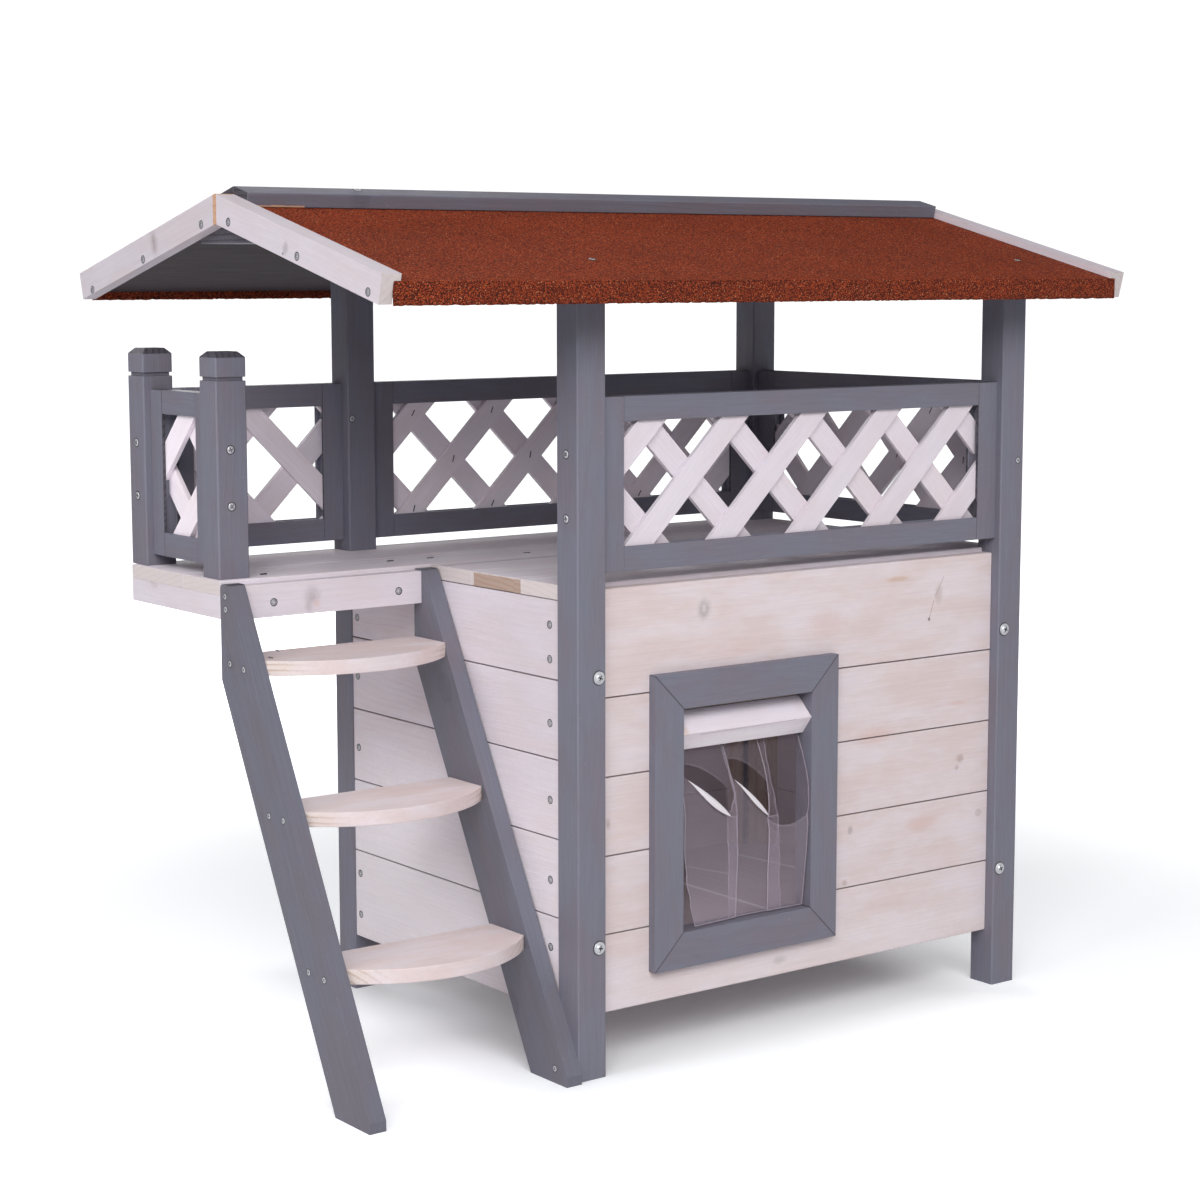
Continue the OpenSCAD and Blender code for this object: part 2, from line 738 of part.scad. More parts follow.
// A tread is a board whose front edge is an arc through its two ends
module tread(i) {
    z = deck_z - top_tread_drop - i * tread_rise;
    y1 = rear_edge(z);
    y0 = y1 - tread_end_d;
    r = (tread_span * tread_span / 4 + tread_bow * tread_bow) / (2 * tread_bow);
    color(white) translate([0, 0, z - tread_t / 2]) linear_extrude(tread_t) union() {
        translate([x_ladder0, y0]) square([tread_span, tread_end_d]);
        intersection() {
            translate([x_ladder0, y0 - tread_bow - cut]) square([tread_span, tread_bow + cut + tread_end_d / 2]);
            translate([(x_ladder0 + x_ladder1) / 2, y0 - tread_bow + r]) circle(r, $fn = 96);
        }
    }
}

module tread_top() { tread(0); }
module tread_middle() { tread(1); }
module tread_bottom() { tread(2); }

// Roof: one board on each slope, covered by felt that turns down over the eave
module roof_board() {
    yb = y_eave - felt_setback - felt_t;
    color(gray) along_x(x_web0, x_web1)
        polygon([[0, board_ridge], [-yb, slope_z(board_ridge, yb)], [-yb, slope_z(under_ridge, yb)],
            [0, under_ridge]]);
}

module felt_sheet() {
    yf = y_eave - felt_setback;
    yb = yf - felt_t;
    apron_z = slope_z(felt_ridge, yf) - felt_apron;
    color(felt) along_x(x_web0, x_web1)
        polygon([[0, felt_ridge], [-yf, slope_z(felt_ridge, yf)], [-yf, apron_z], [-yb, apron_z],
            [-yb, slope_z(board_ridge, yb)], [0, board_ridge]]);
}

module roof_board_front() { roof_board(); }
module roof_board_back() { to_back() roof_board(); }
module felt_front() { felt_sheet(); }
module felt_back() { to_back() felt_sheet(); }

// Barge boards: an L section, its web outside the roof and its lip over the felt, plumb at the ridge
module sloped_band(thick) {
    polygon([[0, peak_z], [-y_eave, slope_z(peak_z, y_eave)],
        [-y_eave + thick * sin(roof_angle), slope_z(peak_z, y_eave) - thick * cos(roof_angle)],
        [0, peak_z - upright(thick)]]);
}

module barge() {
    color(white) {
        along_x(x_roof0, x_web0) sloped_band(barge_h);
        along_x(x_roof0, x_web0 + lip_w) sloped_band(lip_t);
    }
}

module barge_front_left() { barge(); }
module barge_back_left() { to_back() barge(); }
module barge_front_right() { mirror([1, 0, 0]) barge(); }
module barge_back_right() { to_back() mirror([1, 0, 0]) barge(); }

// Ridge slats on the felt, between the barge boards' lips
module ridge_cap() {
    foot = [-cap_w * cos(roof_angle), felt_ridge - cap_w * sin(roof_angle)];
    color(gray) along_x(x_web0 + lip_w, x_web1 - lip_w)
        polygon([[0, felt_ridge], [0, felt_ridge + upright(cap_t)],
            foot + cap_t * [-sin(roof_angle), cos(roof_angle)], foot]);
}

module ridge_cap_front() { ridge_cap(); }
module ridge_cap_back() { to_back() ridge_cap(); }

// Ridge beam under both roof boards
module ridge_beam() {
    b = beam_w / 2;
    z0 = under_ridge - beam_h;
    color(gray) along_x(x_web0, x_web1)
        polygon([[-b, z0], [b, z0], [b, slope_z(under_ridge, b)], [0, under_ridge],
            [-b, slope_z(under_ridge, b)]]);
}

// Bolts with washers, from the posts' faces into the side battens
module post_bolt(z) {
    translate([x_left + bolt_x, y_front, z]) rotate([90, 0, 0]) rotate_extrude()
        polygon([[0, -bolt_l], [bolt_r, -bolt_l], [bolt_r, 0], [washer_r, 0], [washer_r, washer_t],
            [head_r, washer_t], [head_r, washer_t + head_h / 2], [head_r / 2, washer_t + head_h],
            [0, washer_t + head_h]]);
}

module bolt_pair() {
    for (z = bolt_z) post_bolt(z);
}

module post_bolts() {
    color(zinc) {
        bolt_pair();
        to_right_side() bolt_pair();
        to_back() bolt_pair();
        to_back() to_right_side() bolt_pair();
    }
}

post_front_left();
post_front_right();
post_back_left();
post_back_right();
front_wall();
back_wall();
left_wall();
right_wall();
side_battens();
end_battens();
floor_boards();
floor_cleats();
door_trim_top();
door_trim_bottom();
door_trim_left();
door_trim_right();
header_slat();
strip_rail();
strip_tabs();
flap_left();
flap_middle();
flap_right();
deck_board_1();
deck_board_2();
deck_board_3();
deck_board_4();
deck_board_5();
deck_joists();
fascia_front();
fascia_left();
fascia_back();
newel_front();
newel_back();
front_rail_frame();
front_rail_lattice();
back_rail_frame();
back_rail_lattice();
right_rail_frame();
right_rail_lattice();
balcony_back_frame();
balcony_back_lattice();
balcony_end_frame();
balcony_end_lattice();
stringer_left();
stringer_right();
tread_top();
tread_middle();
tread_bottom();
roof_board_front();
roof_board_back();
felt_front();
felt_back();
barge_front_left();
barge_back_left();
barge_front_right();
barge_back_right();
ridge_cap_front();
ridge_cap_back();
ridge_beam();
post_bolts();
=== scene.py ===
import math
import random

import bmesh
import bpy
from mathutils import Matrix, Vector, noise


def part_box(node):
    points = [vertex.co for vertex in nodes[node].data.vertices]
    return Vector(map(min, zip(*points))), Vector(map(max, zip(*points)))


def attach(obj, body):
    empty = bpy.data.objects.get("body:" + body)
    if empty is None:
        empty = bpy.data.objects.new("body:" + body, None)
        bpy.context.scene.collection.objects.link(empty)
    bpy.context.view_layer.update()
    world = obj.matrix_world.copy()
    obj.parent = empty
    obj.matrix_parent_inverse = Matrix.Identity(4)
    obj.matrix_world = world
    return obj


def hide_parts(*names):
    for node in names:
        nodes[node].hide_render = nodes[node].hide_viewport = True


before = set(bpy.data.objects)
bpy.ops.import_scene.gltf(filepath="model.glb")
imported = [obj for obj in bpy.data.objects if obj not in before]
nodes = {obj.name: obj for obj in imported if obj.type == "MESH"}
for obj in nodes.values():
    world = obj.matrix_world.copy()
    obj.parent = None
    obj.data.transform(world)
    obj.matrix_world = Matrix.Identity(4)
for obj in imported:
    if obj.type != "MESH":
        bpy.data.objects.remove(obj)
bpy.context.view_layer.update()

MM = 0.001
scene = bpy.context.scene

X, Y, Z = (1.0, 0.0, 0.0), (0.0, 1.0, 0.0), (0.0, 0.0, 1.0)
LEFT, RIGHT, FRONT, BACK = (-1.0, 0.0, 0.0), (1.0, 0.0, 0.0), (0.0, -1.0, 0.0), (0.0, 1.0, 0.0)

# places in mm: the left posts' outer face, the house's middle, the front posts' outer face
X_LEFT, X_MID, Y_FRONT = -173.5, 76.0, -185.0
DECK_Z = 402.0
# upper edge of the rail panels' lower rails, and a height between their two rails
RAIL_Z, PANEL_MID_Z = 431.5, 480.0
# distance along a panel between two strips of one layer, which run at 45 degrees
LATTICE_PITCH = 86.8
ROOT_HALF = math.sqrt(0.5)

SLOPE = math.radians(14.25)
DOWN_FRONT = (0.0, -math.cos(SLOPE), -math.sin(SLOPE))
DOWN_BACK = (0.0, math.cos(SLOPE), -math.sin(SLOPE))
UP_FRONT = (0.0, -math.sin(SLOPE), math.cos(SLOPE))
UP_BACK = (0.0, math.sin(SLOPE), math.cos(SLOPE))
LEAN = math.radians(27.6)
LADDER = (0.0, math.sin(LEAN), math.cos(LEAN))


def linear(r, g, b):
    """A colour given as 0 to 255 screen values, as the linear values that shaders take."""
    def one(c):
        c /= 255
        return c / 12.92 if c <= 0.04045 else ((c + 0.055) / 1.055) ** 2.4
    return one(r), one(g), one(b), 1.0


# ---------------------------------------------------------------- materials

class Value:
    """A number that varies over a surface: a socket, with arithmetic."""

    def __init__(self, tree, socket):
        self.tree, self.socket = tree, socket

    def op(self, name, *others):
        node = self.tree.nodes.new("ShaderNodeMath")
        node.operation = name
        for slot, value in zip(node.inputs, (self, *others)):
            feed(self.tree, slot, value)
        return Value(self.tree, node.outputs[0])

    def __add__(self, o): return self.op("ADD", o)
    def __sub__(self, o): return self.op("SUBTRACT", o)
    def __mul__(self, o): return self.op("MULTIPLY", o)
    def __truediv__(self, o): return self.op("DIVIDE", o)
    __radd__, __rmul__ = __add__, __mul__
    def __rsub__(self, o): return (self * -1.0) + o
    def abs(self): return self.op("ABSOLUTE")
    def root(self): return self.op("SQRT")
    def above(self, o): return self.op("GREATER_THAN", o)
    def power(self, o): return self.op("POWER", o)
    def within(self, lo, hi): return self.op("MAXIMUM", lo).op("MINIMUM", hi)

    def to(self, lo, hi, out_lo=0.0, out_hi=1.0, smooth=True):
        node = self.tree.nodes.new("ShaderNodeMapRange")
        node.interpolation_type = "SMOOTHSTEP" if smooth else "LINEAR"
        for slot, value in zip(node.inputs, (self, lo, hi, out_lo, out_hi)):
            feed(self.tree, slot, value)
        return Value(self.tree, node.outputs[0])

    def pick(self, if_one, if_zero):
        return self * if_one + (1.0 - self) * if_zero


def feed(tree, slot, value):
    if isinstance(value, Value):
        value = value.socket
    if isinstance(value, bpy.types.NodeSocket):
        tree.links.new(value, slot)
    else:
        slot.default_value = value


class Paint:
    """A material under construction, with short calls for its nodes."""

    def __init__(self, name):
        self.mat = bpy.data.materials.new(name)
        self.mat.use_nodes = True
        self.tree = self.mat.node_tree
        self.tree.nodes.clear()
        self.shader = self.node("ShaderNodeBsdfPrincipled")
        self.out = self.node("ShaderNodeOutputMaterial", {"Surface": self.shader.outputs[0]})
        self.coord = self.node("ShaderNodeTexCoord")

    def node(self, kind, inputs=None, **settings):
        made = self.tree.nodes.new(kind)
        for key, value in settings.items():
            setattr(made, key, value)
        for key, value in (inputs or {}).items():
            feed(self.tree, made.inputs[key], value)
        return made

    def set(self, **inputs):
        for key, value in inputs.items():
            feed(self.tree, self.shader.inputs[key.replace("_", " ")], value)

    def along(self, direction, of="Object", scale=1000.0):
        """How far a point lies along a direction, in mm."""
        made = self.node("ShaderNodeVectorMath", {0: self.coord.outputs[of], 1: [c * scale for c in direction]},
                         operation="DOT_PRODUCT")
        return Value(self.tree, made.outputs["Value"])

    def facing(self, direction):
        """How far the surface faces a direction: 1 straight at it, -1 away from it."""
        return self.along(direction, "Normal", 1.0)

    def join(self, x, y, z):
        return self.node("ShaderNodeCombineXYZ", {0: x, 1: y, 2: z}).outputs[0]

    def noise(self, x, y, z, detail=2.0, rough=0.5):
        made = self.node("ShaderNodeTexNoise", {"Vector": self.join(x, y, z), "Scale": 1.0, "Detail": detail,
                                                "Roughness": rough})
        return Value(self.tree, made.outputs["Fac"])

    def cloud(self, scale, detail):
        """Even noise in all directions; the scale is in features per metre."""
        made = self.node("ShaderNodeTexNoise", {"Vector": self.coord.outputs["Object"], "Scale": scale,
                                                "Detail": detail})
        return Value(self.tree, made.outputs["Fac"])

    def mix(self, share, a, b):
        made = self.node("ShaderNodeMix", data_type="RGBA")
        for i, value in ((0, share), (6, a), (7, b)):
            feed(self.tree, made.inputs[i], value)
        return made.outputs[2]

    def shade(self, colour, amount):
        """The colour times a number."""
        made = self.node("ShaderNodeVectorMath", {0: colour, "Scale": amount}, operation="SCALE")
        return made.outputs[0]

    def bump(self, height, depth_mm, strength=1.0):
        made = self.node("ShaderNodeBump", {"Height": height, "Distance": depth_mm * MM, "Strength": strength})
        self.set(Normal=made.outputs[0])


def cross(a, b):
    return tuple(Vector(a).cross(Vector(b)))


def board(grain, face):
    """The layout of one board: distances along the grain, across the face and through it, and no board number."""
    def layout(p):
        lean = p.facing(grain).abs()
        return p.along(grain), p.along(face), p.along(cross(grain, face)), lean, 0.0
    return layout


def boards(grain, face, start, pitch, last=99.0):
    """Several boards side by side in one node, numbered across the face from 0 to the last one."""
    def layout(p):
        a = p.along(face)
        number = ((a - start) / pitch).op("FLOOR").within(0.0, last)
        lean = p.facing(grain).abs()
        return p.along(grain), a, p.along(cross(grain, face)), lean, number
    return layout


def panel(grain, middle, half):
    """A rail panel's frame: stiles outside half a width from its middle, and two rails between them."""
    def layout(p):
        l, z = p.along(grain), p.along(Z)
        stile = (l - middle).abs().above(half)
        through = p.along(cross(grain, Z))
        lean = stile.pick(p.facing(Z), p.facing(grain)).abs()
        number = stile.pick(l.above(middle), z.above(PANEL_MID_Z) + 2.0)
        return stile.pick(z, l), stile.pick(l, z), through, lean, number
    return layout


def lattice(along, through, split, rise, fall):
    """Two crossing layers of strips, parted at a depth; rise and fall are where their middles meet the lower rail."""
    def layout(p):
        up = tuple((Vector(along) + Vector(Z)).normalized())
        down = tuple((Vector(along) - Vector(Z)).normalized())
        far = p.along(through).above(split)
        l, a = far.pick(p.along(down), p.along(up)), far.pick(p.along(up), p.along(down))
        lean = far.pick(p.facing(down), p.facing(up)).abs()
        first = far.pick((fall + RAIL_Z) * ROOT_HALF, (rise - RAIL_Z) * ROOT_HALF)
        return l, a, p.along(through), lean, ((a - first) / (LATTICE_PITCH * ROOT_HALF)).op("ROUND") + far * 20.0
    return layout


COATS = {
    # a thin white wash that lets the pine show through
    "wash": dict(light=(222, 211, 215), warm=(217, 200, 199), late=(208, 190, 186), late_share=0.14,
                 knot=(180, 160, 158), knot_share=0.5, end=(216, 203, 197), end_late=(184, 160, 142), end_share=0.8,
                 rough=0.62, shine=0.25, fleck=0.0, streak=0.032),
    # the same wash where it lies thicker
    "cool": dict(light=(220, 212, 221), warm=(218, 207, 213), late=(207, 194, 199), late_share=0.14,
                 knot=(184, 168, 170), knot_share=0.4, end=(210, 200, 200), end_late=(198, 184, 180), end_share=0.35,
                 rough=0.62, shine=0.25, fleck=0.0, streak=0.028),
    # matt gray paint, in which only the coarse grain shows
    "paint": dict(light=(118, 119, 133), warm=(120, 115, 126), late=(100, 98, 109), late_share=0.24,
                  knot=(94, 92, 104), knot_share=0.4, end=(80, 77, 85), end_late=(50, 47, 54), end_share=0.8,
                  rough=0.50, shine=0.35, fleck=0.6, streak=0.04),
    # bare planed pine
    "bare": dict(light=(210, 190, 168), warm=(198, 174, 148), late=(176, 142, 112), late_share=0.6,
                 knot=(128, 84, 54), knot_share=0.9, end=(204, 172, 130), end_late=(166, 122, 82), end_share=0.9,
                 rough=0.6, shine=0.3, fleck=0.0, streak=0.04),
}
# gray paint for the roof's underside, browner and without sheen, which is darkened where it is used as painted shade;
# and the wash inside the house, darker
COATS["under"] = dict(COATS["paint"], light=(122, 112, 120), warm=(118, 108, 114), shine=0.05)
COATS["inside"] = dict(COATS["wash"], light=(188, 176, 184), warm=(180, 166, 172), late=(160, 144, 148),
                       late_share=0.4)
# tones for marks and lines; "light" and "gray" serve as the wood's own paler and grayer tones and also as painted
# light and painted shade
TONES = {"gray": (152, 142, 147), "pink": (214, 186, 181), "amber": (202, 168, 142), "brown": (158, 130, 120),
         "dark": (66, 58, 60), "tan": (205, 168, 134), "light": (232, 226, 230), "post": (52, 56, 70),
         "joint": (74, 70, 78), "seam": (104, 90, 93), "raw": (180, 158, 146), "pine": (204, 162, 132),
         "raw_late": (160, 120, 92), "fleck": (158, 158, 166)}
# wood's pattern, in mm: the rings' pitch and how far a knot swells them, the cells that hold one knot each
RING_PITCH, KNOT_SWELL, KNOT_CELL = 4.6, 15.0, (150.0, 118.0)


def wood(name, coat, layout, seed, knots=(), bright=1.0, knot_rate=1.0, marks=(), raw=(), lines=(), seams=None):
    """Solid wood under the named coat: growth rings in space, so that faces show streaks and ends show arcs.

    All lengths are in mm, and along and across are those of the layout.
    knots: (along, across, radius)
    marks, which are soft spots: (along, across, half length, half width, tone, strength)
    raw, which are boxes without a coat: (x0, x1, y0, y1, z0, z1, tone)
    lines: (from along, from across, to along, to across, half width, tone, strength)
    seams, which are dark joints across the face: (start, pitch, how many, outward direction)
    """
    p, c = Paint(name), COATS[coat]
    rnd = random.Random(seed)
    l0, a0, b0, lean, number = layout(p)
    # each board has its own stretch of grain, and an odd number from -1 to 1 that sets it apart
    shift = rnd.uniform(0, 900)
    many = isinstance(number, Value)
    l = l0 + number * 331.7 + shift if many else l0 + shift
    odd = (number * 12.9898 + rnd.uniform(0, 90)).op("SINE") if many else rnd.uniform(-1, 1)
    a = a0 + odd * 9.0
    pith_a, pith_b = rnd.uniform(-26, 26), rnd.choice((-1, 1)) * rnd.uniform(24, 48)
    # growth rings about a pith line that wanders beside the board
    wander = p.noise(l / 160.0, a0 / 60.0, odd * 3.0, 1.0)
    ra = (a0 + odd * 31.0 + pith_a + wander * 34.0) * 0.85
    rb = b0 + pith_b + wander * 10.0
    radius = (ra * ra + rb * rb).root() + l * 0.011
    # knots: given ones, and random ones from a cell pattern
    at = p.join(l / KNOT_CELL[0], (a0 + odd * 40.0) / KNOT_CELL[1], shift / 7.0)
    cell = p.node("ShaderNodeTexVoronoi", {"Vector": at, "Scale": 1.0, "Randomness": 1.0}, voronoi_dimensions="3D")
    rough_edge = p.noise(l / 5.0, a0 / 5.0, b0 / 9.0, 2.0) * 0.5 - 0.25
    near = Value(p.tree, cell.outputs["Distance"]) * (14.0 / knot_rate) + rough_edge
    for kl, ka, kr in knots:
        dl, da = (l0 - kl) / kr, (a0 - ka) / (kr * 1.25)
        near = near.op("MINIMUM", (dl * dl + da * da).root() + rough_edge)
    swell = (near * near * -0.22).op("EXPONENT")
    phase = (radius + swell * KNOT_SWELL) / RING_PITCH + p.noise(l / 30.0, a / 3.0, b0 / 3.0, 2.0) * 0.35
    ring = phase.op("FRACT")
    late = ring.power(3.0) * ring.to(0.97, 1.0, 1.0, 0.25)
    streak = p.noise(l / 55.0, a / 1.5, b0 / 1.5, 3.0, 0.62)
    patch = p.noise(l / 75.0, a / 26.0, b0 / 26.0, 3.0, 0.6)
    fibre = p.noise(l / 9.0, a / 0.45, b0 / 0.45, 2.0, 0.6)
    knot = near.to(1.25, 0.75)
    rim = near.to(0.8, 1.05) * near.to(1.5, 1.1)
    # the face's colours
    colour = p.mix(patch.to(0.34, 0.66), linear(*c["light"]), linear(*c["warm"]))
    colour = p.mix(late * streak.to(0.25, 0.75) * c["late_share"], colour, linear(*c["late"]))
    colour = p.mix((knot * 0.6 + rim * 0.6 + swell * 0.22) * c["knot_share"], colour, linear(*c["knot"]))
    for ml, ma, rl, ra, tone, strength in marks:
        dl, da = (l0 - ml) / rl, (a0 - ma) / ra
        spot = (dl * dl + da * da).root() + rough_edge * 1.2
        colour = p.mix(spot.to(1.3, 0.3) * strength, colour, linear(*TONES[tone]))
    for l1, a1, l2, a2, half, tone, strength in lines:
        run = math.hypot(l2 - l1, a2 - a1)
        ul, ua = (l2 - l1) / run, (a2 - a1) / run
        t = ((l0 - l1) * ul + (a0 - a1) * ua).within(0.0, run)
        dl, da = l0 - l1 - t * ul, a0 - a1 - t * ua
        gap = (dl * dl + da * da).root() + rough_edge * (half * 0.8)
        colour = p.mix(gap.to(half * 1.4, half * 0.5) * strength, colour, linear(*TONES[tone]))
    if seams:
        start, pitch, count, outward = seams
        outer = p.facing(outward).above(-0.5)
        nearest = ((a0 - start) / pitch).op("ROUND").within(1.0, float(count))
        seam = (a0 - start - nearest * pitch).abs().to(0.95, 0.3)
        colour = p.mix(seam * outer * 0.8, colour, linear(*TONES["seam"]))
    # the ends' colours
    end = p.mix(late.to(0.1, 0.7) * c["end_share"], linear(*c["end"]), linear(*c["end_late"]))
    colour = p.mix(lean.to(0.4, 0.75), colour, end)
    depth = c["streak"]
    streaks = streak.to(0.2, 0.8, 1.0 - 1.6 * depth, 1.0 + depth)
    colour = p.shade(colour, streaks * fibre.to(0.2, 0.8, 0.98, 1.015) * (odd * 0.02 + 1.0) * bright)
    for *box, tone in raw:
        inside = 1.0
        for axis, lo, hi in zip((X, Y, Z), box[::2], box[1::2]):
            at = p.along(axis) + rough_edge * 3.0
            inside = (at - lo).to(-0.3, 0.3) * (at - hi).to(0.3, -0.3) * inside
        colour = p.mix(inside, colour, p.mix(late * 0.5, linear(*TONES[tone]), linear(*TONES["raw_late"])))
    if c["fleck"]:
        fleck = p.noise(l / 2.6, a / 1.3, b0 / 1.3, 1.0).to(0.77, 0.80)
        colour = p.mix(fleck * c["fleck"], colour, linear(*TONES["fleck"]))
    p.set(Base_Color=colour, Roughness=streak.to(0.2, 0.8, c["rough"] + 0.06, c["rough"] - 0.06),
          Specular_IOR_Level=c["shine"])
    p.bump(late * 0.4 + streak * 0.6 + fibre * 0.3 + knot * 0.4, 0.26 if coat != "paint" else 0.2)
    return p.mat


def felt_finish():
    """Mineral granules pressed into bitumen: each grain with its own tone, dark bitumen in the gaps."""
    p = Paint("roof_felt")
    grain = p.node("ShaderNodeTexVoronoi", {"Vector": p.coord.outputs["Object"], "Scale": 930.0})
    distance = Value(p.tree, grain.outputs["Distance"])
    tone = p.node("ShaderNodeSeparateColor", {0: grain.outputs["Color"]})
    red, green = Value(p.tree, tone.outputs[0]), Value(p.tree, tone.outputs[1])
    clump, cloud = p.cloud(330.0, 2.0), p.cloud(14.0, 3.0)
    colour = p.mix(red, linear(136, 44, 19), linear(196, 86, 42))
    colour = p.mix(green.to(0.86, 0.93), colour, linear(96, 34, 22))
    colour = p.mix(green.to(0.06, 0.0), colour, linear(214, 138, 96))
    colour = p.mix(distance.to(0.42, 0.72) * 0.85, colour, linear(60, 22, 14))
    colour = p.mix(clump.to(0.58, 0.72) * 0.3, colour, linear(84, 31, 20))
    # on steep faces, the apron, the gaps between grains are darker and the whole a little lighter
    steep = p.facing(Z).abs().to(0.75, 0.45)
    colour = p.mix(steep * distance.to(0.25, 0.5) * 0.5, colour, linear(40, 16, 12))
    colour = p.shade(colour, cloud.to(0.3, 0.7, 0.93, 1.07) * (1.0 + steep * 0.06))
    p.set(Base_Color=colour, Roughness=0.86, Specular_IOR_Level=0.25)
    p.bump(distance * -1.0 + red * 0.6 + clump * 0.8, 1.0)
    return p.mat


def bitumen_finish():
    """The felt's bare underside."""
    p = Paint("roof_felt_back")
    mottle = p.cloud(90.0, 4.0)
    p.set(Base_Color=p.mix(mottle, linear(34, 30, 31), linear(58, 52, 52)), Roughness=0.8)
    p.bump(mottle, 0.4)
    return p.mat


def zinc_finish(name, dark, bright):
    """Zinc plating, mottled between two tones."""
    p = Paint(name)
    spangle = p.cloud(900.0, 2.0)
    p.set(Base_Color=p.mix(spangle, linear(*dark), linear(*bright)), Metallic=0.45,
          Roughness=spangle.to(0.2, 0.8, 0.26, 0.42))
    p.bump(spangle, 0.05)
    return p.mat


def pvc_finish(name, fold=None):
    """Clear soft plastic: see-through and glossy, with painted light on it: it is milkier below its fold, partly as a
    painted reflection of the lamps, its cut edges and crease carry painted highlights, a painted shade line lies
    under the crease, and a painted reflection lies over its arc.

    A fold is a crease or a valley, in mm. A crease has its ends (x, z), its thickness and bow, and an arc
    (x, z, curve) that bounds the clear patch above it as far as its cut (x). A valley is an arc alone.
    """
    p = Paint(name)
    x, z = p.along(X), p.along(Z)
    rim = Value(p.tree, p.node("ShaderNodeAttribute", attribute_name="rim").outputs["Fac"])
    smear = p.cloud(26.0, 3.0)
    p.set(Base_Color=p.mix(smear, linear(218, 204, 220), linear(200, 188, 202)), Roughness=0.14,
          Specular_IOR_Level=0.5)
    p.bump(smear, 0.5, 0.4)
    # lower down the strip is milkier, partly as a painted reflection of the lamps
    milk_and_reflection = z.to(200.0, 104.0, 0.105, 0.165, smooth=False)
    haze_and_reflection, crease_highlight = z * 0.0 + 0.05, 0.0
    if fold:
        ax, az, curve = fold["arc"]
        under_arc = (x - ax) * (x - ax) * -curve + az - z
        if "ends" in fold:
            (xa, za), (xb, zb) = fold["ends"]
            dx, dz = xb - xa, zb - za
            size = math.hypot(dx, dz)
            # u runs from one end of the crease to the other, and off is the distance from its bowed middle
            u = ((x - xa) * dx + (z - za) * dz) / (size * size)
            body = (u * (1.0 - u) * 4.0).op("MAXIMUM", 0.0)
            off = ((x - xa) * -dz + (z - za) * dx) / size + body * fold["bow"]
            half = body * (u * 0.6 + 0.7) * (fold["thick"] / 2)
            # a painted highlight along the crease, drawn in white
            crease_highlight = (half - off.abs()).to(-0.1, 0.5)
            line = ((xb - x) * (dz / -dx)).op("MAXIMUM", 0.0) + zb - z
            low = line.to(-0.3, 0.5)
            # a painted shade line just under the crease
            shade = (half - (off + 1.0).abs()).to(-0.9, 0.1)
            before_cut = (x - fold["cut"]).to(0.4, -0.4)
            # over the arc a painted reflection of the lamps, clear below it down to the crease; painted highlights
            # run on from the crease's end and along the arc
            haze_and_reflection = low.pick(milk_and_reflection, under_arc.to(-0.4, 0.6) * before_cut * -0.045 + 0.055)
            haze_and_reflection = haze_and_reflection * (1.0 - shade * 0.5) + line.abs().to(1.0, 0.2) * (x - xb).to(-0.5, 0.5) * 0.16
            haze_and_reflection = haze_and_reflection + under_arc.abs().to(1.2, 0.2) * before_cut * 0.05
        else:
            # a valley: milky below its arc, clear above, with a painted highlight along the arc
            low = under_arc.to(-0.4, 0.6)
            haze_and_reflection = low.pick(milk_and_reflection * 0.95, 0.03) + under_arc.abs().to(1.2, 0.2) * 0.08
    # the cut edges and foot carry a painted highlight; smears add a faint haze
    haze_and_reflection = haze_and_reflection + smear * 0.02 + rim * 0.45
    glass = p.node("ShaderNodeBsdfTransparent", {"Color": (0.93, 0.92, 0.93, 1.0)})
    facing = Value(p.tree, p.node("ShaderNodeLayerWeight", {"Blend": 0.3}).outputs["Facing"])
    share = (haze_and_reflection + facing.power(3.0) * 0.4).within(0.0, 1.0)
    both = p.node("ShaderNodeMixShader", {0: share, 1: glass.outputs[0], 2: p.shader.outputs[0]})
    # white for the crease's painted highlight
    white = p.node("ShaderNodeBsdfDiffuse", {"Color": linear(222, 216, 222)})
    out = p.node("ShaderNodeMixShader", {0: crease_highlight, 1: both.outputs[0], 2: white.outputs[0]})
    feed(p.tree, p.out.inputs["Surface"], out.outputs[0])
    return p.mat


# how far the near floor glows of itself, to come out as light as the background
FLOOR_LIFT = 0.32


def floor_finish():
    """A pale floor that looks as light far off as near, with its glow turned down around and under the house as a
    painted shadow; the light that it throws on the part is a duller one's.
    """
    p = Paint("pale_floor")
    x, y = p.along(X, scale=1.0), p.along(Y, scale=1.0)  # in metres
    far = (x * x + y * y).root().to(0.55, 1.7)
    # the glow turned down around and under the house: a painted shadow on the floor
    under = ((x - 0.04) / 0.30).abs().op("MAXIMUM", ((y - 0.02) / 0.27).abs()).to(1.0, 0.6)
    p.set(Base_Color=(0.90, 0.92, 0.95, 1.0), Roughness=0.9, Specular_IOR_Level=0.0,
          Emission_Color=(1.0, 1.0, 1.0, 1.0), Emission_Strength=far * 0.8 + (1.0 - under * 0.8) * FLOOR_LIFT)
    dull = p.node("ShaderNodeBsdfDiffuse", {"Color": (0.85, 0.84, 0.85, 1.0)})
    ray = p.node("ShaderNodeLightPath")
    both = p.node("ShaderNodeMixShader", {0: ray.outputs["Is Camera Ray"], 1: dull.outputs[0],
                                          2: p.shader.outputs[0]})
    feed(p.tree, p.out.inputs["Surface"], both.outputs[0])
    return p.mat


